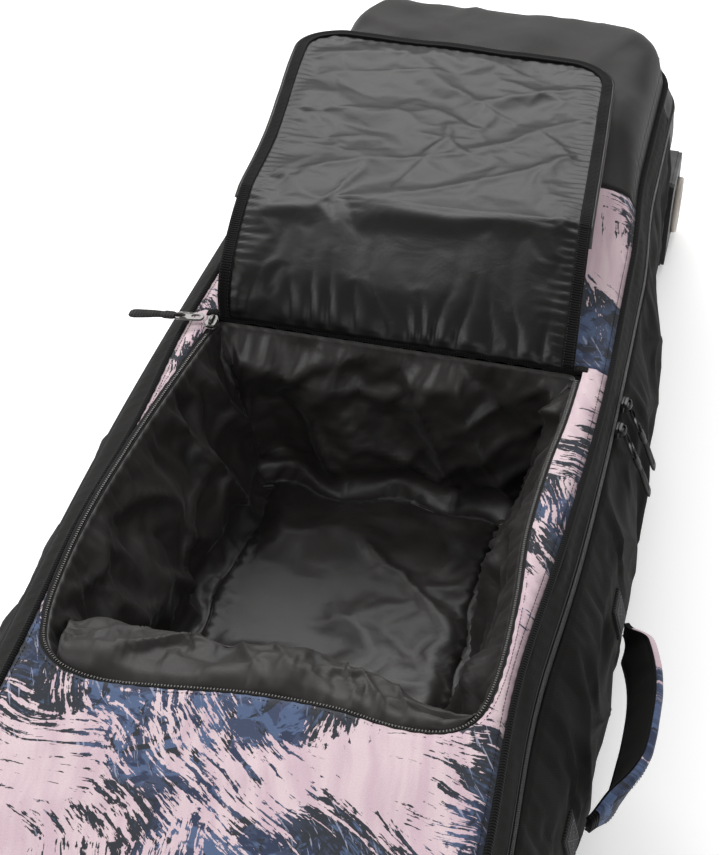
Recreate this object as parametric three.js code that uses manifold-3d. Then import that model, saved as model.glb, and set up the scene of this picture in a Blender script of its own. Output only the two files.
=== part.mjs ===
// Wheeled snowboard bag lying on its back, front panel up, boot compartment flap folded open.
// Millimetres, +Z up, +Y towards the wheeled end, X across the bag.
// The origin is the middle of the flat underside of the back panel.

import * as THREE from 'three';
import { mergeVertices } from 'three/addons/utils/BufferGeometryUtils.js';
import Module from 'manifold-3d';

const wasm = await Module();
wasm.setup();

// ---------------------------------------------------------------- driving dimensions

const GAP = 0.3; // clearance between neighbouring solids
const WALL = 6; // padded fabric wall
const BACK_TOP = 10; // inner face of the padded back panel
const ZIP_HEIGHT = 176; // parting line between the base and the lid
const SEAM_HEIGHT = 200; // piped seam around the front panel
const FRONT_TOP = 206; // outer face of the front panel
const SIDE_END = 700; // side gussets run between -SIDE_END and +SIDE_END

// Outline of the bag at each height: half width at the ends, how much further the sides
// swell out half way along, how much more the left side slumps, half length, corner radius.
const SECTIONS = [
  { z: 0, width: 172, swell: 26, slump: 0, length: 782, radius: 60 },
  { z: 10, width: 184, swell: 32, slump: 0, length: 790, radius: 66 },
  { z: 45, width: 191, swell: 39, slump: 0, length: 804, radius: 72 },
  { z: 90, width: 193, swell: 36, slump: 0, length: 812, radius: 74 },
  { z: 135, width: 195, swell: 22, slump: 2, length: 811, radius: 74 },
  { z: ZIP_HEIGHT, width: 193, swell: 2, slump: 9, length: 804, radius: 72 },
  { z: SEAM_HEIGHT, width: 182, swell: 0, slump: 0, length: 794, radius: 66 },
  { z: FRONT_TOP, width: 177, swell: 0, slump: 0, length: 789, radius: 62 },
];
const WRAP_RISE = 26; // the wrap over the wheeled end stands this much above the front panel

// Boot compartment opening in the front panel.
const HINGE_Y = 224; // sewn edge of the flap
const OPENING_NEAR_Y = -198; // edge opposite the hinge
const OPENING_LEFT_AT_HINGE = -157;
const OPENING_LEFT_BOW_Y = -20;
const OPENING_LEFT = -165;
const OPENING_RIGHT = 155;
const OPENING_CORNER = 45;
const BOOT_TAPE_WIDTH = 9;
const TUB_FLOOR = 58;
const TUB_CLOTH = 3;

// Flap: a root strip that climbs from the hinge and a main panel that lies back from it.
const FLAP_AXIS_Z = 212;
const FLAP_ROOT_LENGTH = 108;
const FLAP_ROOT_SLOPE = THREE.MathUtils.degToRad(29.4);
const FLAP_MAIN_LENGTH = 330;
const FLAP_MAIN_SLOPE = THREE.MathUtils.degToRad(-0.6);
const FLAP_HALF_WIDTH = 146;
const FLAP_LEFT_FLARE = 10; // extra width on the left at the free edge
const FLAP_RIGHT_TAPER = 6;
const FLAP_CORNER = 38;
const FLAP_HINGE_MARGIN = 3; // from the hinge line to the flap's sewn edge
const FLAP_CLOTH = 2;
const BINDING_WIDTH = 15;
const BINDING_HALF_THICKNESS = 2.8;
const FOLD_CLEARANCE = 1.2;

// Wheels and their housings, at the back corners of the wheeled end.
const WHEEL_RADIUS = 38;
const WHEEL_Y = 768;
const HUB_RADIUS = 30;
const HUB_DISC_RADIUS = 31;
const AXLE_RADIUS = 4;
const HOUSING_INNER_X = 130;
const HOUSING_OUTER_X = 192;
const HOUSING_NEAR_Y = 696;
const HOUSING_TOP = 98;
const GUARD_OUTER_X = 196;
const KICK_PLATE_Y = 640;

// Handles.
const SIDE_HANDLE_Y = -58;
const SIDE_HANDLE_HALF_SPAN = 98;
const SIDE_HANDLE_Z = 100;
const SIDE_HANDLE_REACH = 34;
const END_HANDLE_HALF_SPAN = 70;
const END_HANDLE_Z = 95;
const END_HANDLE_REACH = 26;
const HANDLE_STAND = 9; // from the wall to the line that a handle swings about

// Zip sliders on the main zip, measured along Y, and the slider of the boot compartment.
const MAIN_SLIDER_Y = [231, 196];
const BOOT_SLIDER_Y = 214;

// ---------------------------------------------------------------- materials

const COLOURS = {
  print: [0xd9c0c8, 0.85, 0],
  wrap: [0x474340, 0.8, 0],
  gusset: [0x2b2826, 0.9, 0],
  liner: [0x201f1e, 0.45, 0],
  lining: [0x4a4745, 0.4, 0],
  binding: [0x1c1b1a, 0.8, 0],
  zip: [0x181818, 0.6, 0],
  metal: [0xa8a8a8, 0.35, 1],
  gloss: [0x141414, 0.25, 0],
  plastic: [0x1a1a1a, 0.6, 0],
  hub: [0xb3aaa0, 0.55, 0],
  tyre: [0x161616, 0.75, 0],
  webbing: [0x1e1d1c, 0.85, 0],
  padding: [0x55514d, 0.95, 0],
};

function material(slot) {
  const [color, roughness, metalness] = COLOURS[slot];
  return new THREE.MeshStandardMaterial({ color, roughness, metalness });
}

// ---------------------------------------------------------------- solids

function toSolid(geometry) {
  const bare = geometry.index ? geometry.toNonIndexed() : geometry.clone();
  bare.deleteAttribute('normal');
  bare.deleteAttribute('uv');
  const merged = mergeVertices(bare, 1e-3);
  return new wasm.Manifold(new wasm.Mesh({
    numProp: 3,
    vertProperties: merged.attributes.position.array,
    triVerts: Uint32Array.from(merged.index.array),
  }));
}

function toGeometry(solid) {
  const mesh = solid.getMesh();
  const geometry = new THREE.BufferGeometry();
  geometry.setAttribute('position', new THREE.BufferAttribute(mesh.vertProperties, 3));
  geometry.setIndex(new THREE.BufferAttribute(mesh.triVerts, 1));
  geometry.computeVertexNormals();
  return geometry;
}

// A box between two corners.
function block(low, high) {
  const size = new THREE.Vector3(high[0] - low[0], high[1] - low[1], high[2] - low[2]);
  const geometry = new THREE.BoxGeometry(size.x, size.y, size.z);
  geometry.translate(low[0] + size.x / 2, low[1] + size.y / 2, low[2] + size.z / 2);
  return toSolid(geometry);
}

// A flat outline in X and Y, extruded between two heights.
function plate(shape, bottom, top) {
  const geometry = new THREE.ExtrudeGeometry(shape, {
    depth: top - bottom,
    bevelEnabled: false,
    curveSegments: 6,
  });
  geometry.translate(0, 0, bottom);
  return toSolid(geometry);
}

// A cylinder along X.
function barrel(radius, from, to, y, z, sides) {
  const geometry = new THREE.CylinderGeometry(radius, radius, to - from, sides);
  geometry.rotateZ(Math.PI / 2);
  geometry.translate((from + to) / 2, y, z);
  return toSolid(geometry);
}

function roundedRectangle(halfWidth, halfHeight, radius) {
  const shape = new THREE.Shape();
  shape.absarc(halfWidth - radius, halfHeight - radius, radius, 0, Math.PI / 2);
  shape.absarc(radius - halfWidth, halfHeight - radius, radius, Math.PI / 2, Math.PI);
  shape.absarc(radius - halfWidth, radius - halfHeight, radius, Math.PI, 1.5 * Math.PI);
  shape.absarc(halfWidth - radius, radius - halfHeight, radius, 1.5 * Math.PI, 2 * Math.PI);
  return shape;
}

// ---------------------------------------------------------------- outline of the bag

function section(z) {
  const clamped = THREE.MathUtils.clamp(z, SECTIONS[0].z, FRONT_TOP);
  const upper = Math.max(1, SECTIONS.findIndex((row) => row.z >= clamped));
  const [a, b] = [SECTIONS[upper - 1], SECTIONS[upper]];
  const t = (clamped - a.z) / (b.z - a.z);
  const between = (key) => THREE.MathUtils.lerp(a[key], b[key], t);
  return {
    width: between('width'),
    swell: between('swell'),
    slump: between('slump'),
    length: between('length'),
    radius: between('radius'),
  };
}

// How far a side stands out from the centre line at a height and a place along Y.
function sideReach(y, z, side = 1) {
  const { width, swell, slump, length, radius } = section(z);
  const along = Math.min(1, Math.abs(y) / (length - radius));
  const depth = side > 0 ? swell : swell + slump;
  return width + depth * Math.pow(1 - along * along, 1.5);
}

const SIDE_STEPS = 12;
const CORNER_STEPS = 5;

// The bag's outline at one height, anticlockwise, moved inwards by inset.
function outline(z, inset) {
  const { width, length, radius } = section(z);
  const straight = length - radius;
  const points = [];
  for (const sign of [1, -1]) {
    for (let i = 0; i <= SIDE_STEPS; i += 1) {
      const y = sign * straight * ((2 * i) / SIDE_STEPS - 1);
      points.push([sign * (sideReach(y, z, sign) - inset), y]);
    }
    const start = sign > 0 ? 0 : Math.PI;
    for (let i = 1; i <= CORNER_STEPS; i += 1) {
      const angle = start + (Math.PI / 2) * (i / CORNER_STEPS);
      points.push(cornerPoint(sign, sign, angle, width, straight, radius, inset));
    }
    for (let i = 0; i < CORNER_STEPS; i += 1) {
      const angle = start + (Math.PI / 2) * (1 + i / CORNER_STEPS);
      points.push(cornerPoint(-sign, sign, angle, width, straight, radius, inset));
    }
  }
  return points;
}

function cornerPoint(signX, signY, angle, width, straight, radius, inset) {
  const x = signX * (width - radius) + (radius - inset) * Math.cos(angle);
  const y = signY * straight + (radius - inset) * Math.sin(angle);
  return [x, y];
}

// A solid through the outline at several heights, closed flat at the bottom and top.
function loft(levels) {
  const rings = levels.map(([z, inset]) => outline(z, inset).map(([x, y]) => [x, y, z]));
  const count = rings[0].length;
  const positions = rings.flat(2);
  const bottom = rings.length * count;
  positions.push(0, 0, levels[0][0], 0, 0, levels[levels.length - 1][0]);
  const indices = [];
  for (let i = 0; i < count; i += 1) {
    const next = (i + 1) % count;
    for (let r = 0; r + 1 < rings.length; r += 1) {
      const [a, b] = [r * count + i, r * count + next];
      indices.push(a, b, b + count, a, b + count, a + count);
    }
    const top = (rings.length - 1) * count;
    indices.push(bottom, next, i, bottom + 1, top + i, top + next);
  }
  const geometry = new THREE.BufferGeometry();
  geometry.setAttribute('position', new THREE.Float32BufferAttribute(positions, 3));
  geometry.setIndex(indices);
  return toSolid(geometry);
}

// The heights between two limits at which the outline changes slope, with the limits.
function heights(bottom, top) {
  const inner = SECTIONS.map((row) => row.z).filter((z) => z > bottom + 1 && z < top - 1);
  return [bottom, ...inner, top];
}

// A wall that follows the outline all the way round, between two heights and two insets.
function ringWall(bottom, top, outer, inner) {
  const outside = loft(heights(bottom, top).map((z) => [z, outer]));
  const inside = loft([
    [bottom - 1, inner],
    ...heights(bottom, top).map((z) => [z, inner]),
    [top + 1, inner],
  ]);
  return outside.subtract(inside);
}

const FAR = 2000; // past every part of the bag

const regions = {
  right: block([0, -SIDE_END + GAP, -FAR], [FAR, SIDE_END - GAP, FAR]),
  left: block([-FAR, -SIDE_END + GAP, -FAR], [0, SIDE_END - GAP, FAR]),
  wheelEnd: block([-FAR, SIDE_END, -FAR], [FAR, FAR, FAR]),
  topEnd: block([-FAR, -FAR, -FAR], [FAR, -SIDE_END, FAR]),
};

// ---------------------------------------------------------------- opening and flap outlines

// The boot compartment opening, grown outwards by offset.
function openingShape(offset) {
  const left = OPENING_LEFT - offset;
  const right = OPENING_RIGHT + offset;
  const near = OPENING_NEAR_Y - offset;
  const corner = OPENING_CORNER + offset;
  const shape = new THREE.Shape();
  shape.moveTo(right, HINGE_Y + offset);
  shape.lineTo(OPENING_LEFT_AT_HINGE - offset, HINGE_Y + offset);
  shape.lineTo(left, OPENING_LEFT_BOW_Y);
  shape.lineTo(left, near + corner);
  shape.quadraticCurveTo(left, near, left + corner, near);
  shape.lineTo(right - corner, near);
  shape.quadraticCurveTo(right, near, right, near + corner);
  shape.lineTo(right, HINGE_Y + offset);
  return shape;
}

// Flap outline with v running from the hinge to the free edge, moved inwards by inset.
function flapShape(inset) {
  const length = FLAP_ROOT_LENGTH + FLAP_MAIN_LENGTH;
  const leftHinge = inset - FLAP_HALF_WIDTH;
  const rightHinge = FLAP_HALF_WIDTH - inset;
  const leftFree = leftHinge - FLAP_LEFT_FLARE;
  const rightFree = rightHinge - FLAP_RIGHT_TAPER;
  const free = length - inset;
  const corner = FLAP_CORNER - inset / 2;
  const shape = new THREE.Shape();
  const hinge = FLAP_HINGE_MARGIN + inset / 2;
  shape.moveTo(leftHinge, hinge);
  shape.lineTo(rightHinge, hinge);
  shape.lineTo(rightFree, free - corner);
  shape.quadraticCurveTo(rightFree, free, rightFree - corner, free);
  shape.lineTo(leftFree + corner, free);
  shape.quadraticCurveTo(leftFree, free, leftFree, free - corner);
  shape.closePath();
  return shape;
}

const rootPart = block([-FAR, -FAR, -FAR], [FAR, FLAP_ROOT_LENGTH - FOLD_CLEARANCE, FAR]);
const mainPart = block([-FAR, FLAP_ROOT_LENGTH + FOLD_CLEARANCE, -FAR], [FAR, FAR, FAR]);

// ---------------------------------------------------------------- scene graph

const bag = new THREE.Group();

function add(name, solid, slot, parent = bag) {
  const mesh = new THREE.Mesh(toGeometry(solid), material(slot));
  mesh.name = name;
  parent.add(mesh);
  return mesh;
}

// ---------------------------------------------------------------- wheel corners

// Side view of the wheel housing; its back corner is rounded about the axle.
function housingShape(grow) {
  const arc = WHEEL_RADIUS - 3 + grow;
  const near = HOUSING_NEAR_Y - grow;
  const top = HOUSING_TOP + grow;
  const shape = new THREE.Shape();
  shape.moveTo(near, WHEEL_RADIUS - arc);
  shape.lineTo(WHEEL_Y, WHEEL_RADIUS - arc);
  shape.absarc(WHEEL_Y, WHEEL_RADIUS, arc, -Math.PI / 2, 0);
  shape.lineTo(WHEEL_Y + arc, 64);
  shape.quadraticCurveTo(WHEEL_Y + arc, top, WHEEL_Y + 2, top);
  shape.lineTo(HOUSING_NEAR_Y + 26, top);
  shape.quadraticCurveTo(near, top, near, 66);
  shape.closePath();
  return shape;
}

// A side view in Y and Z, extruded along X on one side of the bag.
function sidePlate(shape, side, from, to) {
  const geometry = new THREE.ExtrudeGeometry(shape, {
    depth: to - from,
    bevelEnabled: false,
    curveSegments: 8,
  });
  geometry.rotateY(Math.PI / 2);
  geometry.rotateX(Math.PI / 2);
  geometry.translate(side > 0 ? from : -to, 0, 0);
  return toSolid(geometry);
}

// A cylinder along X on one side of the bag, about the wheel's axle unless told otherwise.
function sideBarrel(radius, side, from, to, y = WHEEL_Y, z = WHEEL_RADIUS) {
  const sides = radius < 10 ? 12 : 28;
  return side > 0 ? barrel(radius, from, to, y, z, sides) : barrel(radius, -to, -from, y, z, sides);
}

function housingClearance(side) {
  return sidePlate(housingShape(GAP), side, HOUSING_INNER_X - GAP, FAR)
    .add(block(
      side > 0 ? [HOUSING_INNER_X - GAP, HOUSING_NEAR_Y - GAP, -1] : [-FAR, HOUSING_NEAR_Y - GAP, -1],
      side > 0 ? [FAR, FAR, 66] : [GAP - HOUSING_INNER_X, FAR, 66],
    ));
}

const cornerClearance = housingClearance(1).add(housingClearance(-1));

function wheelCorner(side, label) {
  const pocket = sideBarrel(WHEEL_RADIUS + 4, side, 148, HOUSING_OUTER_X + 1);
  const bore = sideBarrel(AXLE_RADIUS + GAP, side, 100, 300);
  const housing = sidePlate(housingShape(0), side, HOUSING_INNER_X, HOUSING_OUTER_X);
  add(`wheel_housing_${label}`, housing.subtract(pocket).subtract(bore), 'plastic');

  const window = sideBarrel(HUB_DISC_RADIUS + 2, side, HOUSING_OUTER_X - 1, GUARD_OUTER_X + 1);
  const guard = sidePlate(housingShape(-1), side, HOUSING_OUTER_X + GAP, GUARD_OUTER_X);
  add(`wheel_guard_${label}`, guard.subtract(window), 'plastic');

  const tyre = sideBarrel(WHEEL_RADIUS, side, 154, 182)
    .add(sideBarrel(WHEEL_RADIUS - 2, side, 152, 184))
    .subtract(sideBarrel(HUB_RADIUS + GAP, side, 150, 186));
  add(`tyre_${label}`, tyre, 'tyre');

  add(`wheel_hub_${label}`, hub(side).subtract(bore), 'hub');

  const axle = sideBarrel(AXLE_RADIUS, side, 132, 196)
    .add(sideBarrel(AXLE_RADIUS + 3, side, 195, 198));
  add(`axle_${label}`, axle, 'metal');
}

const HUB_HOLES = 5;

// Drum under the tyre and the visible disc, which is pierced by a ring of holes.
function hub(side) {
  let solid = sideBarrel(HUB_RADIUS, side, 153, 183)
    .add(sideBarrel(HUB_DISC_RADIUS, side, 185, 194.5))
    .add(sideBarrel(HUB_RADIUS - 6, side, 182, 186));
  for (let i = 0; i < HUB_HOLES; i += 1) {
    const angle = (2 * Math.PI * i) / HUB_HOLES + 0.3;
    const y = WHEEL_Y + 19 * Math.cos(angle);
    const z = WHEEL_RADIUS + 19 * Math.sin(angle);
    solid = solid.subtract(sideBarrel(5, side, 176, 196, y, z));
  }
  return solid;
}

wheelCorner(1, 'right');
wheelCorner(-1, 'left');

// ---------------------------------------------------------------- base

function backAndGussets() {
  const back = loft(heights(0, BACK_TOP).map((z) => [z, 0])).subtract(cornerClearance);
  const ahead = block([-FAR, -FAR, -FAR], [FAR, KICK_PLATE_Y - GAP, FAR]);
  const behind = block([-FAR, KICK_PLATE_Y, -FAR], [FAR, FAR, FAR]);
  add('back_panel', back.intersect(ahead), 'gusset');

  let kick = back.intersect(behind);
  for (const x of [-60, 0, 60]) {
    kick = kick.subtract(block([x - 5, KICK_PLATE_Y + 12, -1], [x + 5, FAR, 2]));
  }
  add('kick_plate', kick, 'plastic');

  const stiffener = new THREE.Shape(roundedRectangle(152, 680, 40).getPoints(5));
  add('back_stiffener', plate(stiffener, BACK_TOP + GAP, BACK_TOP + 3.3), 'padding');

  const walls = ringWall(BACK_TOP + GAP, ZIP_HEIGHT - 5.3, 0, WALL).subtract(cornerClearance);
  add('gusset_right', walls.intersect(regions.right), 'gusset');
  add('gusset_left', walls.intersect(regions.left), 'gusset');
  add('wheel_end_panel', walls.intersect(regions.wheelEnd), 'wrap');
  add('top_end_panel', walls.intersect(regions.topEnd), 'gusset');
}

// Zip rows run along the right side and round both ends; the left side is the lid's hinge.
function mainZipRow(name, bottom, top) {
  const row = ringWall(bottom, top, 0.5, 5.5).subtract(regions.left);
  add(name, row, 'zip');
}

const STRAP_Y = [330, -420];

// Webbing straps that hold the board down, each with a side release buckle on top.
function boardStraps() {
  STRAP_Y.forEach((y, i) => {
    const strap = block([-168, y - 12.5, 15], [168, y + 12.5, 16.6]);
    add(`board_strap_${i + 1}`, strap, 'webbing');
    const slot = (x) => block([x - 2, y - 13, 10], [x + 2, y + 13, 40]);
    const buckle = plate(new THREE.Shape(roundedRectangle(31, 19, 6).getPoints(4)), 17, 25)
      .translate([0, y, 0])
      .subtract(slot(-24))
      .subtract(slot(24));
    add(`strap_buckle_${i + 1}`, buckle, 'gloss');
  });
}

backAndGussets();
mainZipRow('main_zip_lower', ZIP_HEIGHT - 5, ZIP_HEIGHT - 0.2);
boardStraps();

// ---------------------------------------------------------------- lid

// Where the printed front panel meets the plain wrap of the wheeled end.
const wrapRegion = plate(new THREE.Shape([
  new THREE.Vector2(FAR, 480),
  new THREE.Vector2(182, 480),
  new THREE.Vector2(116, 562),
  new THREE.Vector2(-116, 562),
  new THREE.Vector2(-182, 480),
  new THREE.Vector2(-FAR, 480),
  new THREE.Vector2(-FAR, FAR),
  new THREE.Vector2(FAR, FAR),
]), -FAR, FAR);

function lidShell() {
  const front = loft([
    [SEAM_HEIGHT + GAP, 4.9],
    [SEAM_HEIGHT + 3, 3],
    [FRONT_TOP, 4],
  ]);
  const printed = front.subtract(wrapRegion).subtract(
    plate(openingShape(BOOT_TAPE_WIDTH + GAP), 100, 300),
  );
  add('front_panel', printed, 'print');
  const dome = loft([
    [FRONT_TOP - 1, 5],
    [FRONT_TOP + WRAP_RISE * 0.5, 14],
    [FRONT_TOP + WRAP_RISE * 0.85, 34],
    [FRONT_TOP + WRAP_RISE, 58],
  ]);
  add('front_wrap', front.add(dome).intersect(wrapRegion.translate([0, GAP, 0])), 'wrap');

  const piping = loft([
    [SEAM_HEIGHT - 3, 1.2],
    [SEAM_HEIGHT - 1.6, -0.6],
    [SEAM_HEIGHT + 1.6, -0.6],
    [SEAM_HEIGHT + 2.7, 1],
  ]).subtract(loft([[SEAM_HEIGHT - 5, 4.5], [SEAM_HEIGHT, 4.5], [FRONT_TOP, -2]]))
    .subtract(front);
  add('front_piping', piping, 'binding');

  const band = ringWall(ZIP_HEIGHT + 5, SEAM_HEIGHT - 3 - GAP, 0, WALL);
  add('lid_band_right', band.intersect(regions.right), 'gusset');
  add('lid_band_left', band.intersect(regions.left), 'gusset');
  add('lid_band_wheel_end', band.intersect(regions.wheelEnd), 'wrap');
  add('lid_band_top_end', band.intersect(regions.topEnd), 'gusset');

  const hinge = ringWall(ZIP_HEIGHT - 4.8, ZIP_HEIGHT + 4.7, 1, 4.5);
  add('lid_hinge_tape', hinge.intersect(regions.left), 'binding');
}

function bootCompartment() {
  const hingeSide = block([-FAR, HINGE_Y - 2, -FAR], [FAR, FAR, FAR]);
  const tape = plate(openingShape(BOOT_TAPE_WIDTH), 202.2, 205.5)
    .subtract(plate(openingShape(-2.5), 0, 300));
  const coil = plate(openingShape(5), 205, 207.5)
    .subtract(plate(openingShape(0), 0, 300));
  add('boot_zip_fixed', tape.add(coil).subtract(hingeSide), 'zip');

  const hingeTape = block(
    [OPENING_LEFT_AT_HINGE, HINGE_Y + GAP, 202.2],
    [OPENING_RIGHT, HINGE_Y + BOOT_TAPE_WIDTH, 207.6],
  );
  add('flap_hinge_tape', hingeTape, 'binding');

  const walls = plate(openingShape(0), TUB_FLOOR + TUB_CLOTH, 201.9)
    .subtract(plate(openingShape(-TUB_CLOTH), 0, 300));
  add('boot_tub_walls', walls, 'liner');
  add('boot_tub_floor', plate(openingShape(0), TUB_FLOOR, TUB_FLOOR + TUB_CLOTH - GAP), 'liner');

  const fold = new THREE.Shape([
    new THREE.Vector2(OPENING_NEAR_Y + 4, 199),
    new THREE.Vector2(OPENING_NEAR_Y + 4, 196.5),
    new THREE.Vector2(OPENING_NEAR_Y + 54, 160),
    new THREE.Vector2(OPENING_NEAR_Y + 56, 162.5),
  ]);
  const geometry = new THREE.ExtrudeGeometry(fold, { depth: 260, bevelEnabled: false });
  geometry.rotateY(Math.PI / 2);
  geometry.rotateX(Math.PI / 2);
  geometry.translate(-135, 0, 0);
  const inside = plate(openingShape(-TUB_CLOTH - GAP), 0, 300);
  add('liner_fold', toSolid(geometry).intersect(inside), 'liner');
}

lidShell();
mainZipRow('main_zip_upper', ZIP_HEIGHT + 0.2, ZIP_HEIGHT + 4.7);
bootCompartment();

// ---------------------------------------------------------------- flap

// Layers of the flap: the printed shell faces down and the lining faces up while it is open.
function flapLayers() {
  const shell = plate(flapShape(BINDING_WIDTH), -FLAP_CLOTH, -GAP / 2);
  const lining = plate(flapShape(BINDING_WIDTH), GAP / 2, FLAP_CLOTH);
  const tape = plate(flapShape(0), -BINDING_HALF_THICKNESS, BINDING_HALF_THICKNESS)
    .subtract(plate(flapShape(BINDING_WIDTH - GAP), -5, 5));
  const zip = plate(flapShape(-4.5), -1, 2.4)
    .subtract(plate(flapShape(-GAP), -5, 5))
    .intersect(mainPart);

  const root = new THREE.Group();
  root.position.set(0, HINGE_Y, FLAP_AXIS_Z);
  root.rotation.x = FLAP_ROOT_SLOPE;
  bag.add(root);
  add('flap_root_shell', shell.intersect(rootPart), 'print', root);
  add('flap_root_lining', lining.intersect(rootPart), 'lining', root);
  add('flap_root_binding', tape.intersect(rootPart), 'binding', root);

  const main = new THREE.Group();
  main.position.set(0, FLAP_ROOT_LENGTH, 0);
  main.rotation.x = FLAP_MAIN_SLOPE - FLAP_ROOT_SLOPE;
  root.add(main);
  const shift = new THREE.Group();
  shift.position.set(0, -FLAP_ROOT_LENGTH, 0);
  main.add(shift);
  add('flap_shell', shell.intersect(mainPart), 'print', shift);
  add('flap_lining', lining.intersect(mainPart), 'lining', shift);
  add('flap_binding', tape.intersect(mainPart), 'binding', shift);
  add('flap_zip', zip, 'zip', shift);
}

flapLayers();

// ---------------------------------------------------------------- sliders and pulls

const LINK_LENGTH = 26;
const TAB_LENGTH = 44;

// A flat pull hanging down -Z from its pivot: a metal link, then a moulded tab.
function pullParts() {
  const eye = roundedRectangle(2.4, 4, 2).getPoints(3).map((p) => new THREE.Vector2(p.x, p.y + 6));
  const linkShape = new THREE.Shape(roundedRectangle(5, LINK_LENGTH / 2, 4).getPoints(3));
  linkShape.holes.push(new THREE.Path(eye));
  const tabShape = new THREE.Shape(roundedRectangle(5.5, TAB_LENGTH / 2, 3).getPoints(3));
  return {
    link: sidePlate(linkShape, 1, -1, 1).translate([0, 0, -LINK_LENGTH / 2]),
    tab: sidePlate(tabShape, 1, -1.7, 1.7).translate([0, 0, -LINK_LENGTH - GAP - TAB_LENGTH / 2]),
  };
}

// The flat faces of a pull made by pullParts face X; it hangs from the group's origin.
function pullGroup(name, position, rotationY, slot) {
  const group = new THREE.Group();
  group.position.set(...position);
  group.rotation.y = rotationY;
  bag.add(group);
  const { link, tab } = pullParts();
  add(`${name}_link`, link, slot, group);
  add(`${name}_tab`, tab, 'webbing', group);
}

const PULL_LEAN = THREE.MathUtils.degToRad(-33); // hangs over the swell of the gusset
const BOOT_PULL_LEAN = THREE.MathUtils.degToRad(84); // lies out to the left over the panel's edge

function mainSliders() {
  MAIN_SLIDER_Y.forEach((y, i) => {
    const face = sideReach(y, ZIP_HEIGHT - 5) + GAP;
    const body = plate(new THREE.Shape(roundedRectangle(3, 8, 2.5).getPoints(3)),
      ZIP_HEIGHT - 4.8, ZIP_HEIGHT + 4.6).translate([face + 3, y, 0]);
    add(`main_slider_${i + 1}`, body, 'gloss');
    pullGroup(`main_pull_${i + 1}`, [face + 8.5, y, ZIP_HEIGHT - 2], PULL_LEAN, 'gloss');
  });
}

function bootSlider() {
  const x = OPENING_LEFT_AT_HINGE - 3;
  const body = plate(new THREE.Shape(roundedRectangle(5, 8, 3).getPoints(3)), 207.8, 212)
    .translate([x, BOOT_SLIDER_Y, 0]);
  add('boot_slider', body, 'metal');
  pullGroup('boot_pull', [x - 7, BOOT_SLIDER_Y, 213.4], BOOT_PULL_LEAN, 'metal');
}

mainSliders();
bootSlider();

// ---------------------------------------------------------------- handles

// A grip swept along an arch, with a flat section standing on edge; both ends are notched
// above and below so that they clear the wall as the grip swings.
function archGrip(points, halfThickness, halfHeight, steps) {
  const path = new THREE.CatmullRomCurve3(points.map((p) => new THREE.Vector3(...p)));
  const shape = new THREE.Shape(
    roundedRectangle(halfHeight, halfThickness, halfThickness * 0.8).getPoints(2),
  );
  const geometry = new THREE.ExtrudeGeometry(shape, { steps, extrudePath: path });
  let grip = toSolid(geometry);
  for (const [x, y, z] of [points[0], points[points.length - 1]]) {
    for (const side of [1, -1]) {
      const near = z + side * 6;
      const away = z + side * 40;
      grip = grip.subtract(block(
        [x - 14, y - 14, Math.min(near, away)],
        [x + 14, y + 14, Math.max(near, away)],
      ));
    }
  }
  return grip;
}

const ANCHOR_HALF = 15;

// A skin over the wall at a handle's height, from which its sewn anchors are cut.
function anchorPatch(z) {
  return ringWall(z - ANCHOR_HALF, z + ANCHOR_HALF, -3.3, -GAP);
}

function sideHandle() {
  const base = sideReach(SIDE_HANDLE_Y, SIDE_HANDLE_Z - 13) + HANDLE_STAND;
  const arch = [];
  for (let i = 0; i <= 6; i += 1) {
    const t = (2 * i) / 6 - 1;
    const reach = SIDE_HANDLE_REACH * (1 - Math.pow(Math.abs(t), 2.6));
    arch.push([base + reach, SIDE_HANDLE_Y + t * SIDE_HANDLE_HALF_SPAN, SIDE_HANDLE_Z]);
  }
  add('side_handle_grip', archGrip(arch, 5, 13, 12), 'print');
  [1, -1].forEach((sign, i) => {
    const y = SIDE_HANDLE_Y + sign * (SIDE_HANDLE_HALF_SPAN + 18);
    const patch = anchorPatch(SIDE_HANDLE_Z)
      .intersect(block([0, y - ANCHOR_HALF, 0], [FAR, y + ANCHOR_HALF, FAR]));
    add(`side_handle_anchor_${i + 1}`, patch, 'webbing');
  });
}

function endHandle() {
  const base = -section(END_HANDLE_Z).length - HANDLE_STAND;
  const arch = [];
  for (let i = 0; i <= 6; i += 1) {
    const t = (2 * i) / 6 - 1;
    const reach = END_HANDLE_REACH * (1 - Math.pow(Math.abs(t), 2.6));
    arch.push([t * END_HANDLE_HALF_SPAN, base - reach, END_HANDLE_Z]);
  }
  add('end_handle_grip', archGrip(arch, 4, 14, 12), 'webbing');
  [-1, 1].forEach((sign, i) => {
    const x = sign * (END_HANDLE_HALF_SPAN + 18);
    const patch = anchorPatch(END_HANDLE_Z)
      .intersect(block([x - ANCHOR_HALF, -FAR, 0], [x + ANCHOR_HALF, 0, FAR]));
    add(`end_handle_anchor_${i + 1}`, patch, 'webbing');
  });
}

sideHandle();
endHandle();

export default bag;
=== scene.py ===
"""Wheeled snowboard bag on its back with the boot compartment's flap folded open.
Metres, row frame: origin under the middle of the back panel, +Z up, +Y to the wheeled end."""
import math

import bmesh
import bpy
import numpy as np
from mathutils import Matrix, Vector
from mathutils.geometry import delaunay_2d_cdt


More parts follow.
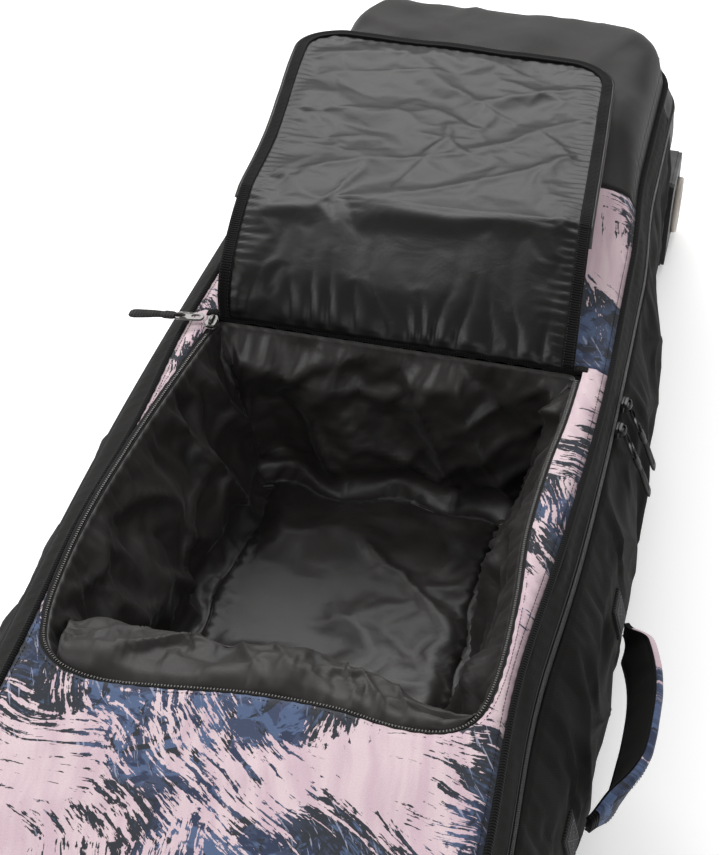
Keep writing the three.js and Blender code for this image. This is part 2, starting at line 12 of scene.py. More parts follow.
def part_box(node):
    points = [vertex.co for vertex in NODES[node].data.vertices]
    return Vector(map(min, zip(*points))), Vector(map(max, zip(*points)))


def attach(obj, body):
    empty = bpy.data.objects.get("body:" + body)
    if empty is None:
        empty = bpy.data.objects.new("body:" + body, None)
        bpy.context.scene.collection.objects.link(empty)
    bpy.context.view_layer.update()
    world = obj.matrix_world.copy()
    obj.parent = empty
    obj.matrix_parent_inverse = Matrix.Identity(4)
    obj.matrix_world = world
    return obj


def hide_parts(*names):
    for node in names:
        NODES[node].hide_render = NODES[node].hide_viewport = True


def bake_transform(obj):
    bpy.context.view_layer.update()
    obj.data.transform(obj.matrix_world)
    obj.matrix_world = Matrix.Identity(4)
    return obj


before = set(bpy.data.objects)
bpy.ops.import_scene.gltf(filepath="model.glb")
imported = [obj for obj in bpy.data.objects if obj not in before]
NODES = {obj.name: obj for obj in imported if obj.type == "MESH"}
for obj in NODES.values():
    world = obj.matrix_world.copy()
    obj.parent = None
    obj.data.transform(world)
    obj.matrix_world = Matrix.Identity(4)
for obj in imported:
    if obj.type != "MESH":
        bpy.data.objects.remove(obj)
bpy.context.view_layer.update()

MM = 0.001


# ---------------------------------------------------------------- numbers and noise

def smoothstep(low, high, value):
    """From 0 at low to 1 at high, flat at both ends."""
    t = np.clip((value - low) / (high - low), 0, 1)
    return t * t * (3 - 2 * t)


def bell(value, centre, width):
    """1 at the centre, falling off to both sides."""
    return np.exp(-(((value - centre) / width) ** 2))


def _lattice(ix, iy, seed):
    h = np.sin(ix * 127.1 + iy * 311.7 + seed * 53.3) * 43758.5453
    return 2 * (h - np.floor(h)) - 1


def noise(x, y, seed):
    """Smooth random values from -1 to 1, one cell per unit."""
    x, y = np.broadcast_arrays(np.asarray(x, float), np.asarray(y, float))
    fx, fy = np.floor(x), np.floor(y)
    sx, sy = (t * t * t * (t * (t * 6 - 15) + 10) for t in (x - fx, y - fy))
    return sum(wx * wy * _lattice(fx + i, fy + j, seed)
               for i, wx in ((0, 1 - sx), (1, sx)) for j, wy in ((0, 1 - sy), (1, sy)))


def clouds(x, y, seed, octaves):
    """Noise with finer noise added, each octave half as strong."""
    return sum(0.5 ** k * noise(x * 2.0 ** k, y * 2.0 ** k, seed + k) for k in range(octaves))


def folds(x, y, seed, angle, across, along, sharp=1.6):
    """Long soft creases from 0 to 1: across and along are their spacings in metres."""
    c, s = math.cos(angle), math.sin(angle)
    a, b = x * c + y * s, y * c - x * s
    warp = 0.35 * noise(a / along * 1.3, b / across * 0.35, seed + 9)
    ridge = 1 - np.abs(noise(a / along, b / across + warp, seed))
    return ridge ** (2 * sharp)


def layered(x, y, level, *layers):
    """Sets of folds added up, each (height in mm, seed, angle, across, along, sharp) about its level."""
    return sum(height * MM * (folds(x, y, *shape) - level) for height, *shape in layers)


def gathers(along, pitch, warp):
    """The even ripples of a seam that is too long, from -1 to 1."""
    return np.sin(along * 2 * math.pi / pitch + warp)


def travelled(line):
    """Length up to each point of a line, or of each row of a grid."""
    step = np.linalg.norm(np.diff(line, axis=-2), axis=-1)
    return np.concatenate([np.zeros(step.shape[:-1] + (1,)), np.cumsum(step, axis=-1)], axis=-1)


def spline(points, count):
    """A smooth line through the points, with count points evenly spaced along it."""
    p = np.asarray(points, float)
    ext = np.vstack([2 * p[0] - p[1], p, 2 * p[-1] - p[-2]])
    dense, steps = [], 24
    for i in range(len(ext) - 3):
        a, b, c, d = ext[i:i + 4]
        for t in (k / steps for k in range(steps)):
            dense.append(0.5 * (2 * b + (c - a) * t + (2 * a - 5 * b + 4 * c - d) * t * t
                                + (3 * b - a - 3 * c + d) * t ** 3))
    dense.append(p[-1])
    return even(np.array(dense), count)


def even(line, count, closed=False):
    """Resamples a dense line evenly; a closed one leaves its last point out."""
    length = travelled(line)
    at = np.linspace(0, length[-1], count + 1)[:-1] if closed else np.linspace(0, length[-1], count)
    return np.stack([np.interp(at, length, line[:, k]) for k in range(line.shape[1])], axis=1)


def distance_to(points, loop):
    """How far each 2-D point is from a closed line of points."""
    best = np.full(len(points), 9.0)
    for p0, v in zip(loop, np.roll(loop, -1, axis=0) - loop):
        t = np.clip(((points - p0) @ v) / max(v @ v, 1e-12), 0, 1)
        best = np.minimum(best, np.linalg.norm(points - (p0 + t[:, None] * v), axis=1))
    return best


def inside(points, polygon):
    """Which 2-D points lie inside a polygon."""
    x, y = points[:, 0], points[:, 1]
    result = np.zeros(len(points), bool)
    x0, y0 = polygon[-1]
    for x1, y1 in polygon:
        cross = (y1 > y) != (y0 > y)
        with np.errstate(divide="ignore", invalid="ignore"):
            at = (x0 - x1) * (y - y1) / (y0 - y1) + x1
        result ^= cross & (x < at)
        x0, y0 = x1, y1
    return result


# ---------------------------------------------------------------- meshes

def grid_faces(rows, columns, wrap=False):
    """Four-cornered faces of a grid of points; wrap joins its last column to its first."""
    r = np.arange(rows - 1)[:, None]
    c = np.arange(columns if wrap else columns - 1)[None, :]
    n = (c + 1) % columns
    return np.stack([r * columns + c, r * columns + n, (r + 1) * columns + n, (r + 1) * columns + c],
                    axis=-1).reshape(-1, 4)


def normals_of(verts, faces):
    """A unit normal at each point of a mesh of triangles or of quads."""
    v = verts[faces[:, :3]]
    n = np.cross(v[:, 1] - v[:, 0], v[:, 2] - v[:, 0])
    if faces.shape[1] == 4:
        w = verts[faces]
        n = np.cross(w[:, 2] - w[:, 0], w[:, 3] - w[:, 1])
    total = np.zeros_like(verts)
    for k in range(faces.shape[1]):
        np.add.at(total, faces[:, k], n)
    return total / np.maximum(np.linalg.norm(total, axis=1, keepdims=True), 1e-12)


def make(name, verts, faces, material, uv=None, flat=False):
    """A new object from arrays; faces is one array or several."""
    mesh = bpy.data.meshes.new(name)
    groups = faces if isinstance(faces, list) else [faces]
    mesh.from_pydata(np.asarray(verts).tolist(), [], [f for g in groups for f in np.asarray(g).tolist()])
    mesh.materials.append(material)
    if uv is not None:
        layer = mesh.uv_layers.new(name="UVMap")
        index = np.empty(len(mesh.loops), int)
        mesh.loops.foreach_get("vertex_index", index)
        layer.data.foreach_set("uv", np.asarray(uv, np.float32)[index].ravel())
    mesh.polygons.foreach_set("use_smooth", np.full(len(mesh.polygons), not flat))
    mesh.validate()
    mesh.update()
    obj = bpy.data.objects.new(name, mesh)
    bpy.context.scene.collection.objects.link(obj)
    return obj


def closed_solid(faces, count):
    """A sheet's faces, the same faces turned over count points on, and the rim that joins them."""
    k = faces.shape[1]
    edges = np.concatenate([np.stack([faces[:, i], faces[:, (i + 1) % k]], 1) for i in range(k)])
    key = np.sort(edges, axis=1) @ np.array([count, 1])
    _, first, times = np.unique(key, return_index=True, return_counts=True)
    rim = edges[first[times == 1]]
    sides = np.stack([rim[:, 1], rim[:, 0], rim[:, 0] + count, rim[:, 1] + count], 1)
    return [faces, faces[:, ::-1] + count, sides]


def thick(verts, faces, thickness, uv):
    """Points, faces and UV of a sheet made into a closed solid; it grows against its normals."""
    solid = np.vstack([verts, verts - normals_of(verts, faces) * thickness])
    return solid, closed_solid(faces, len(verts)), np.vstack([uv, uv])


def region(polygon, holes, spacing):
    """Triangles over a 2-D region with holes, with points about spacing apart."""
    low, high = polygon.min(0), polygon.max(0)
    xs = np.arange(low[0], high[0], spacing)
    ys = np.arange(low[1], high[1], spacing * 0.9)
    gx, gy = np.meshgrid(xs, ys)
    gx = gx + (np.arange(len(ys)) % 2)[:, None] * spacing / 2
    free = np.stack([gx.ravel(), gy.ravel()], 1)
    loops = [polygon, *holes]
    keep = inside(free, polygon)
    for hole in holes:
        keep &= ~inside(free, hole)
    free = free[keep]
    for loop in loops:
        free = free[distance_to(free, loop) > spacing * 0.55]
    coords, edges = [], []
    for loop in loops:
        start = len(coords)
        coords.extend(loop.tolist())
        edges.extend((start + i, start + (i + 1) % len(loop)) for i in range(len(loop)))
    coords.extend(free.tolist())
    v, _, f, *_ = delaunay_2d_cdt([Vector(c) for c in coords], edges, [], 0, 1e-7)
    verts = np.array([list(p) for p in v])
    faces = np.array([list(t) for t in f])
    middle = verts[faces].mean(axis=1)
    good = inside(middle, polygon)
    for hole in holes:
        good &= ~inside(middle, hole)
    faces = faces[good]
    used = np.unique(faces)
    new = np.zeros(len(verts), int)
    new[used] = np.arange(len(used))
    verts, faces = verts[used], new[faces]
    a, b, c = (verts[faces[:, i]] for i in range(3))
    turned = np.cross(b - a, c - a) < 0
    faces[turned] = faces[turned][:, ::-1]
    return verts, faces


def caps(m, last):
    """End faces of a tube whose rings have m points each."""
    ring = np.arange(m)[None]
    return [ring[:, ::-1], ring + last * m]


def sweep(path, side, up, profile, closed=False):
    """A profile of (side, up) points carried along a path. UV is length along and round."""
    path, profile = np.asarray(path, float), np.asarray(profile, float)
    n, m = len(path), len(profile)
    verts = (path[:, None] + side[:, None] * profile[None, :, :1]
             + up[:, None] * profile[None, :, 1:]).reshape(-1, 3)
    r = np.arange(n if closed else n - 1)[:, None]
    c = np.arange(m)[None, :]
    q, d = (r + 1) % n, (c + 1) % m
    faces = [np.stack([r * m + c, r * m + d, q * m + d, q * m + c], axis=-1).reshape(-1, 4)]
    if not closed:
        faces += caps(m, n - 1)
    uv = np.stack(np.meshgrid(travelled(path), travelled(profile), indexing="ij"), axis=-1)
    return verts, faces, uv.reshape(-1, 2)


def oval(half_width, half_height, count, power=2.0):
    """A closed profile: an ellipse, or a squarer shape with a higher power."""
    a = np.linspace(0, 2 * math.pi, count, endpoint=False)
    c, s = np.cos(a), np.sin(a)
    return np.stack([half_width * np.sign(c) * np.abs(c) ** (2 / power),
                     half_height * np.sign(s) * np.abs(s) ** (2 / power)], 1)


def tangents(path, closed=False):
    """Unit directions along a line at each of its points."""
    t = np.roll(path, -1, axis=0) - np.roll(path, 1, axis=0) if closed else np.gradient(path, axis=0)
    return unit(t)


def unit(v):
    """Vectors scaled to length 1."""
    return v / np.maximum(np.linalg.norm(v, axis=-1, keepdims=True), 1e-12)


def everywhere(direction, count):
    """One direction repeated for every point of a path."""
    return np.tile(np.array(direction, float), (count, 1))


def face_outwards(obj):
    """Turns every face of a closed mesh to the outside."""
    bm = bmesh.new()
    bm.from_mesh(obj.data)
    bmesh.ops.recalc_face_normals(bm, faces=bm.faces)
    bm.to_mesh(obj.data)
    bm.free()


TOOTH = np.array([[x, y, z] for z in (-0.5, 0.5) for x, y in
                  ((-0.5, -0.5), (0.5, -0.5), (0.5, 0.5), (-0.5, 0.5))])
TOOTH[4:, :2] *= 0.62
TOOTH_FACES = np.array([[3, 2, 1, 0], [4, 5, 6, 7], [0, 1, 5, 4], [1, 2, 6, 5], [2, 3, 7, 6], [3, 0, 4, 7]])


def teeth(path, side, up, pitch, size, offset=0.0, lift=0.0, slant=0.0):
    """A row of small raised blocks along a line, for zip coils and stitches. All in millimetres:
    the size of a block along, across and high, and its offset and lift from the line."""
    pitch, size, offset, lift = pitch * MM, np.array(size) * MM, offset * MM, lift * MM
    length = travelled(path)
    count = max(2, int(length[-1] / pitch))
    at = np.linspace(pitch / 2, length[-1] - pitch / 2, count)
    pick = lambda a: np.stack([np.interp(at, length, a[:, k]) for k in range(3)], axis=1)
    p, s, u = pick(path), unit(pick(side)), unit(pick(up))
    t = np.cross(s, u)
    p = p + s * offset + u * lift
    shape = np.repeat(TOOTH[None] * size, count, axis=0)
    shape[:, :, 0] += slant * shape[:, :, 1]
    verts = (p[:, None] + t[:, None] * shape[:, :, :1] + s[:, None] * shape[:, :, 1:2]
             + u[:, None] * shape[:, :, 2:3]).reshape(-1, 3)
    faces = (TOOTH_FACES[None] + 8 * np.arange(count)[:, None, None]).reshape(-1, 4)
    return verts, faces


def join(parts):
    """Several (verts, faces) into one; faces may be lists."""
    verts, faces, base = [], [], 0
    for v, f in parts:
        for g in (f if isinstance(f, list) else [f]):
            faces.append(np.asarray(g) + base)
        verts.append(v)
        base += len(v)
    return np.vstack(verts), faces


def held(rows, columns, first, last, ends):
    """Marks the pinned points of a grid: so many of its first and last rows and end columns."""
    pin = np.zeros((rows, columns), bool)
    pin[:first] = pin[rows - last:] = True
    pin[:, :ends] = pin[:, columns - ends:] = True
    return pin


def relax(verts, faces, pinned, grow, frames, cap, bend):
    """Cloth simulation: the sheet is a share, grow, too big for its pinned edge, so it buckles.
    No point moves by more than cap, and bend is how stiff the cloth is."""
    scene = bpy.context.scene
    obj = make("cloth_work", verts, faces, MATERIALS["liner"])
    group = obj.vertex_groups.new(name="pin")
    group.add(np.nonzero(pinned.ravel())[0].tolist(), 1.0, "REPLACE")
    cloth = obj.modifiers.new("Cloth", "CLOTH")
    s = cloth.settings
    s.quality = 5
    s.mass = 0.15
    s.tension_stiffness = s.compression_stiffness = 12
    s.shear_stiffness = 4
    s.bending_stiffness = bend
    s.air_damping = 2.5
    s.shrink_min = -grow
    s.vertex_group_mass = "pin"
    s.effector_weights.gravity = 0
    cloth.collision_settings.use_self_collision = False
    cloth.point_cache.frame_start, cloth.point_cache.frame_end = 1, frames
    for f in range(1, frames + 1):
        scene.frame_set(f)
    done = obj.evaluated_get(bpy.context.evaluated_depsgraph_get()).to_mesh()
    out = np.empty(len(verts) * 3)
    done.vertices.foreach_get("co", out)
    out = out.reshape(-1, 3)
    scene.frame_set(1)
    bpy.data.objects.remove(obj)
    move = out - verts
    far = np.linalg.norm(move, axis=1, keepdims=True)
    return verts + move * np.minimum(1, cap / np.maximum(far, 1e-9))


def put(obj, body, slot, *nodes):
    """A finished piece rides on its body and stands for its nodes; slot is not used."""
    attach(obj, body)
    if nodes:
        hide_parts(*nodes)
    return obj


def lay(name, solid, material, body, slot, *nodes, flat=False):
    """Makes a piece from its points, faces and maybe UV, and puts it on its body."""
    obj = make(name, solid[0], solid[1], MATERIALS[material], *solid[2:], flat=flat)
    return put(obj, body, slot, *nodes)


# ---------------------------------------------------------------- materials

class Nodes:
    """A short way to wire a material: every method returns an output socket."""

    def __init__(self, name):
        self.material = bpy.data.materials.new(name)
        self.material.use_nodes = True
        self.tree = self.material.node_tree
        self.shader = next(n for n in self.tree.nodes if n.type == "BSDF_PRINCIPLED")

    def node(self, kind, **inputs):
        n = self.tree.nodes.new(kind)
        for key, value in inputs.items():
            self.feed(n.inputs[key.replace("_", " ")], value)
        return n

    def feed(self, socket, value):
        if isinstance(value, bpy.types.NodeSocket):
            self.tree.links.new(value, socket)
        elif socket.type == "RGBA" and len(value) == 3:
            socket.default_value = (*value, 1)
        else:
            socket.default_value = value

    def place(self, kind):
        if kind == "UV":
            return self.node("ShaderNodeUVMap").outputs[0]
        return self.node("ShaderNodeTexCoord").outputs["Object"]

    def scaled(self, vector, scale, turn=0.0, shift=(0, 0, 0)):
        n = self.node("ShaderNodeMapping", Vector=vector)
        n.inputs["Scale"].default_value = scale
        n.inputs["Rotation"].default_value = (0, 0, turn)
        n.inputs["Location"].default_value = shift
        return n.outputs[0]

    def noise(self, vector, scale, detail, rough=0.55, twist=0.0):
        return self.node("ShaderNodeTexNoise", Vector=vector, Scale=scale, Detail=detail,
                         Roughness=rough, Distortion=twist).outputs["Fac"]

    def math(self, op, a, b=0.0):
        n = self.tree.nodes.new("ShaderNodeMath")
        n.operation = op
        self.feed(n.inputs[0], a)
        self.feed(n.inputs[1], b)
        return n.outputs[0]

    def add(self, a, b):
        return self.math("ADD", a, b)

    def times(self, a, b):
        return self.math("MULTIPLY", a, b)

    def swing(self, value, amount):
        """A value about a half turned into plus or minus half the amount."""
        return self.times(self.math("SUBTRACT", value, 0.5), amount)

    def moved(self, vector, x, y=0.0):
        return self.scaled(vector, (1, 1, 1), shift=(x, y, 0))

    def band(self, value, low, high, to_low=0.0, to_high=1.0):
        n = self.node("ShaderNodeMapRange", Value=value)
        for key, number in (("From Min", low), ("From Max", high), ("To Min", to_low), ("To Max", to_high)):
            n.inputs[key].default_value = number
        return n.outputs[0]

    def mix(self, factor, a, b):
        n = self.tree.nodes.new("ShaderNodeMix")
        n.data_type = "RGBA"
        self.feed(n.inputs[0], factor)
        self.feed(n.inputs[6], a)
        self.feed(n.inputs[7], b)
        return n.outputs[2]

    def split(self, vector):
        return self.node("ShaderNodeSeparateXYZ", Vector=vector).outputs

    def weave(self, vector, pitch):
        """Over and under threads, 0 to 1, about pitch apart in the first two coordinates."""
        x, y, _ = self.split(vector)
        k = 2 * math.pi / pitch
        a, b = self.math("SINE", self.times(x, k)), self.math("SINE", self.times(y, k))
        return self.band(self.times(a, b), -1, 1)

    def bump(self, height, distance, strength, below=None):
        n = self.node("ShaderNodeBump", Height=height, Distance=distance, Strength=strength)
        if below is not None:
            self.feed(n.inputs["Normal"], below)
        return n.outputs[0]

    def finish(self, colour, rough, normal=None, **fixed):
        self.feed(self.shader.inputs["Base Color"], colour)
        self.feed(self.shader.inputs["Roughness"], rough)
        if normal is not None:
            self.feed(self.shader.inputs["Normal"], normal)
        for key, value in fixed.items():
            self.shader.inputs[key.replace("_", " ")].default_value = value
        return self.material


def tone(r, g, b):
    """An 8-bit colour as linear light."""
    return tuple((c / 255 / 12.92) if c <= 10 else ((c / 255 + 0.055) / 1.055) ** 2.4 for c in (r, g, b))


PINK = tone(218, 197, 202)
ROSE = tone(206, 180, 190)
NAVY = tone(44, 54, 80)
SLATE = tone(80, 97, 130)
CHARCOAL = tone(40, 44, 51)
MIST = tone(158, 160, 182)
DUSK = tone(60, 70, 96)
PINK_EDGE = 0.748
# Where each panel was cut from the printed cloth, in metres.
NEAR_SHIFT, FAR_SHIFT, HANDLE_SHIFT = (1.32, 1.904), (2.076, 0.773), (-0.876, -0.202)


def print_material(name, shift, strip=0.0):
    """Painted cloth: dry brush patches of pink over navy, slate and charcoal."""
    m = Nodes(name)
    flat = m.moved(m.place("UV"), *shift)
    x, y, _ = m.split(flat)
    sway = [m.swing(m.noise(m.moved(flat, k), 10, 1), 0.04) for k in (3.1, 6.7)]  # bends the strokes
    place = m.node("ShaderNodeCombineXYZ", X=m.add(x, sway[0]), Y=m.add(y, sway[1])).outputs[0]

    def bristles(degrees, long, wide, seed, detail=4):
        """Broken streaks along one direction, long and wide in metres."""
        turned = m.scaled(place, (1, 1, 1), turn=math.radians(degrees), shift=(seed, seed * 0.37, 0))
        return m.noise(m.scaled(turned, (1 / long, 1 / wide, 1)), 1.0, detail, 0.6, 0.1)

    where, also = m.noise(m.moved(place, 4.2, 1.3), 7.0, 1), m.noise(m.moved(place, 8.8, 5.1), 6.0, 1)
    first, second = m.band(where, 0.46, 0.50), m.band(also, 0.53, 0.57)

    def brushed(long, wide, seed):
        """Streaks that change direction from one patch to the next."""
        return m.mix(second, m.mix(first, bristles(38, long, wide, seed), bristles(80, long, wide, seed + 2)),
                     bristles(2, long, wide, seed + 4))

    coarse, fine = brushed(0.044, 0.0064, 1.7), brushed(0.014, 0.0023, 9.3)
    patch = m.noise(m.moved(place, 0.335, 0.12), 5.6, 1.5, 0.5, 0.3)
    ragged = m.add(m.add(m.swing(coarse, 0.86), m.swing(fine, 0.46)), m.swing(m.noise(flat, 210, 3), 0.20))
    field = m.add(m.times(patch, 1.5), ragged)
    if strip:  # the strip on the right of the opening was cut where the cloth is mostly pink
        across, up, _ = m.split(m.place("UV"))
        beside = m.times(m.band(across, 0.140, 0.156), m.band(across, 0.220, 0.235, 1.0, 0.0))
        field = m.add(field, m.times(m.times(beside, m.band(up, -0.185, -0.145)), strip))
    pink_area = m.band(field, PINK_EDGE, PINK_EDGE + 0.012)

    under = m.mix(m.band(m.noise(m.moved(place, 2.2, 7.7), 17, 4, 0.66, 1.6), 0.46, 0.50), NAVY, SLATE)
    under = m.mix(m.band(m.noise(m.moved(place, 5.2, 2.7), 30, 4, 0.62, 1.2), 0.50, 0.535), under, DUSK)
    under = m.mix(m.band(m.noise(m.moved(place, 7.1, 0.9), 42, 4, 0.6, 1.4), 0.575, 0.60), under, CHARCOAL)
    near_edge = m.times(m.band(field, PINK_EDGE - 0.20, PINK_EDGE - 0.10),
                        m.band(m.noise(flat, 8, 1), 0.47, 0.53))
    under = m.mix(near_edge, under, CHARCOAL)
    strokes = m.times(m.band(bristles(60, 0.030, 0.0030, 3.3), 0.61, 0.63), m.band(also, 0.42, 0.50))
    under = m.mix(m.times(strokes, 0.75), under, MIST)
    over = m.mix(m.band(bristles(74, 0.10, 0.014, 6.1, 2), 0.40, 0.62), PINK, ROSE)
    specks = m.times(m.band(brushed(0.016, 0.0026, 5.9), 0.655, 0.675), m.band(where, 0.42, 0.58))
    over = m.mix(m.times(specks, 0.85), over, CHARCOAL)
    colour = m.mix(pink_area, under, over)
    threads = m.weave(flat, 1.05 * MM)
    grain = m.noise(flat, 900, 2)
    colour = m.mix(m.band(grain, 0.3, 0.75, 0.0, 0.14), colour, tone(40, 42, 50))
    slubs = m.noise(m.scaled(flat, (60, 900, 1)), 1.0, 2)
    height = m.add(threads, m.times(slubs, 0.8))
    normal = m.bump(height, 0.12 * MM, 0.7)
    return m.finish(colour, m.band(grain, 0.2, 0.8, 0.72, 0.9), normal,
                    Sheen_Weight=0.1, Sheen_Roughness=0.5, Specular_IOR_Level=0.25)


def cloth_material(name, coords, base, light, rough, pitch, sheen=0.0, specular=0.4):
    """Plain woven cloth with thread relief, slubs and faint uneven wear."""
    m, base, light = Nodes(name), tone(*base), tone(*light)
    place = m.place(coords)
    if coords == "Object":
        x, y, z = m.split(place)
        place = m.node("ShaderNodeCombineXYZ", X=m.add(x, m.times(z, 0.37)), Y=m.add(y, m.times(x, 0.61)),
                       Z=z).outputs[0]
    threads = m.weave(place, pitch)
    grain = m.noise(place, 0.45 / pitch, 3, 0.6)
    cloud = m.noise(place, 9, 4, 0.6)
    colour = m.mix(m.band(cloud, 0.3, 0.75, 0.0, 0.35), base, light)
    colour = m.mix(m.band(grain, 0.35, 0.7, 0.0, 0.55), colour, light)
    # Painted shade: the colour is darkened in the gaps between the threads.
    colour = m.mix(m.times(m.band(threads, 0.0, 0.35, 1.0, 0.0), 0.4), colour, tone(8, 8, 8))
    slubs = m.noise(m.scaled(place, (70, 0.9 / pitch, 1)), 1.0, 2)
    height = m.add(threads, m.add(grain, m.times(slubs, 0.6)))
    normal = m.bump(height, 0.16 * MM, 0.8)
    return m.finish(colour, m.band(grain, 0.25, 0.75, rough - 0.06, rough + 0.06), normal,
                    Sheen_Weight=sheen, Sheen_Roughness=0.45, Specular_IOR_Level=specular)


def nylon_material(name, base, light, rough, specular, crease):
    """Thin coated lining: tight weave, soft sheen and fine creases."""
    m, base, light = Nodes(name), tone(*base), tone(*light)
    place = m.place("UV")
    fine = m.noise(place, 700, 2)
    lines = m.weave(place, 1.3 * MM)
    soft = m.noise(place, 26, 4, 0.55, 0.8)
    crumple = m.node("ShaderNodeTexVoronoi", Vector=place, Scale=30.0)
    crumple.feature = "DISTANCE_TO_EDGE"
    edges = m.band(crumple.outputs["Distance"], 0.0, 0.16)
    colour = m.mix(m.band(soft, 0.3, 0.7, 0, 0.6), base, light)
    normal = m.bump(m.add(soft, m.times(edges, 0.12 * crease)), 2.6 * MM, 0.3)
    normal = m.bump(m.add(fine, m.times(lines, 0.7)), 0.06 * MM, 0.7, normal)
    return m.finish(colour, m.band(fine, 0.2, 0.8, rough - 0.04, rough + 0.05), normal,
                    Specular_IOR_Level=specular, Sheen_Weight=0.05, Sheen_Roughness=0.4)


def ribbed_material(name, base, light, pitch, rough, depth, specular):
    """Woven tape with ribs across its length."""
    m, base, light = Nodes(name), tone(*base), tone(*light)
    place = m.place("UV")
    along, across, _ = m.split(place)
    k = 2 * math.pi / pitch
    ribs = m.band(m.math("SINE", m.times(along, k)), -1, 1)
    cross = m.band(m.math("SINE", m.times(across, k * 0.8)), -1, 1)
    grain = m.noise(place, 0.7 / pitch, 3)
    # Painted light and shade: the rib tops are made lighter and the grooves between them darker.
    colour = m.mix(m.times(ribs, 0.75), base, light)
    colour = m.mix(m.band(grain, 0.4, 0.75, 0, 0.4), colour, light)
    height = m.add(ribs, m.add(m.times(cross, 0.35), m.times(grain, 0.5)))
    normal = m.bump(height, depth * MM, 0.75)
    return m.finish(colour, rough, normal, Sheen_Weight=0.06, Specular_IOR_Level=specular)


def moulded_material(name, base, rough, grain_size, depth, metal=0.0, specular=0.5, worn=None):
    """Moulded plastic, rubber or cast metal: fine grain, smudges and rubbed patches."""
    m, base = Nodes(name), tone(*base)
    place = m.place("Object")
    grain = m.noise(place, grain_size, 3)
    smudge = m.noise(place, 45, 4, 0.6)
    scuff = m.noise(m.scaled(place, (40, 420, 60)), 1.0, 3)
    lighter = tone(*worn) if worn else tuple(min(1, c * 1.8 + 0.01) for c in base)
    colour = m.mix(m.band(smudge, 0.35, 0.75, 0, 0.5), base, lighter)
    colour = m.mix(m.times(m.band(scuff, 0.66, 0.74), 0.35), colour, lighter)
    normal = m.bump(m.add(grain, m.times(scuff, 0.3)), depth * MM, 0.6)
    return m.finish(colour, m.band(smudge, 0.3, 0.7, max(0.05, rough - 0.08), rough + 0.08), normal,
                    Metallic=metal, Specular_IOR_Level=specular)


MATERIALS = {
    "print": print_material("print_cloth", NEAR_SHIFT, 0.15),
    "print_far": print_material("print_cloth_far", FAR_SHIFT),
    "print_handle": print_material("print_cloth_handle", HANDLE_SHIFT),
    "wrap": cloth_material("wrap_cloth", "UV", (22, 20, 19), (37, 34, 32), 0.60, 1.3 * MM, 0.08, 0.24),
    "gusset": cloth_material("gusset_cloth", "UV", (12, 11, 10), (28, 26, 24), 0.84, 1.5 * MM, 0.02, 0.16),
    "liner": nylon_material("liner_nylon", (31, 29, 28), (46, 43, 41), 0.46, 0.40, 1.0),
    "backing": nylon_material("backing_nylon", (24, 23, 22), (38, 36, 34), 0.6, 0.3, 0.9),
    "fold": nylon_material("fold_nylon", (34, 32, 31), (48, 45, 42), 0.54, 0.34, 0.9),
    "lining": nylon_material("lining_nylon", (15, 14, 13), (24, 22, 21), 0.42, 0.27, 0.55),
    "binding": ribbed_material("binding_tape", (3, 3, 3), (10, 9, 9), 2.4 * MM, 0.88, 0.5, 0.12),
    "tape": ribbed_material("zip_tape", (9, 8, 8), (24, 22, 21), 1.7 * MM, 0.76, 0.35, 0.28),
    "webbing": ribbed_material("webbing", (13, 12, 12), (35, 33, 31), 2.8 * MM, 0.82, 0.7, 0.4),
    "coil": moulded_material("zip_coil", (46, 44, 43), 0.36, 1500, 0.02, metal=0.2),
    # The boot zip's coil is lighter than the main zip's coil: a painted highlight for the pale glints along
    # its teeth.
    "boot_coil": moulded_material("boot_zip_coil", (62, 60, 58), 0.30, 1500, 0.02, metal=0.4, specular=0.6),
    "thread": cloth_material("thread", "Object", (24, 23, 22), (46, 43, 41), 0.7, 0.5 * MM),
    "pale_thread": cloth_material("pale_thread", "Object", (96, 98, 108), (150, 150, 158), 0.7, 0.5 * MM),
    "metal": moulded_material("satin_nickel", (86, 85, 84), 0.36, 1300, 0.02, 1.0, worn=(132, 131, 129)),
    "gloss": moulded_material("gloss_black", (7, 7, 8), 0.36, 900, 0.015, specular=0.28),
    "rubber": moulded_material("moulded_rubber", (13, 13, 13), 0.5, 800, 0.06, specular=0.3),
    "plastic": moulded_material("moulded_plastic", (15, 15, 15), 0.5, 420, 0.16, specular=0.35),
    "hub": moulded_material("hub_plastic", (176, 168, 158), 0.5, 600, 0.05, worn=(206, 200, 190)),
    "tyre": moulded_material("tyre_rubber", (19, 19, 19), 0.72, 500, 0.18),
    "padding": cloth_material("foam_board", "Object", (78, 75, 72), (104, 100, 96), 0.9, 3 * MM),
}


# ---------------------------------------------------------------- outline of the bag

# Height, half width at the ends, swell half way along, extra slump on the left, half length
# and corner radius: the same lines as the CAD shell, in millimetres.
SECTIONS = np.array([
    (0, 172, 26, 0, 782, 60), (10, 184, 32, 0, 790, 66), (45, 191, 39, 0, 804, 72),
    (90, 193, 36, 0, 812, 74), (135, 195, 22, 2, 811, 74), (176, 193, 2, 9, 804, 72),
    (200, 182, 0, 0, 794, 66), (206, 177, 0, 0, 789, 62)], float) * MM
ZIP_Z = 0.176
SEAM_Z = 0.200
SIDE_END = 0.6953  # the sides meet the end panels here
WALL = 0.005
HINGE_Y = 0.224  # the boot flap turns here
UP = (0.0, 0.0, 1.0)


def section(z):
    """The columns of SECTIONS after the first, at a height."""
    return [np.interp(z, SECTIONS[:, 0], SECTIONS[:, k]) for k in range(1, 6)]


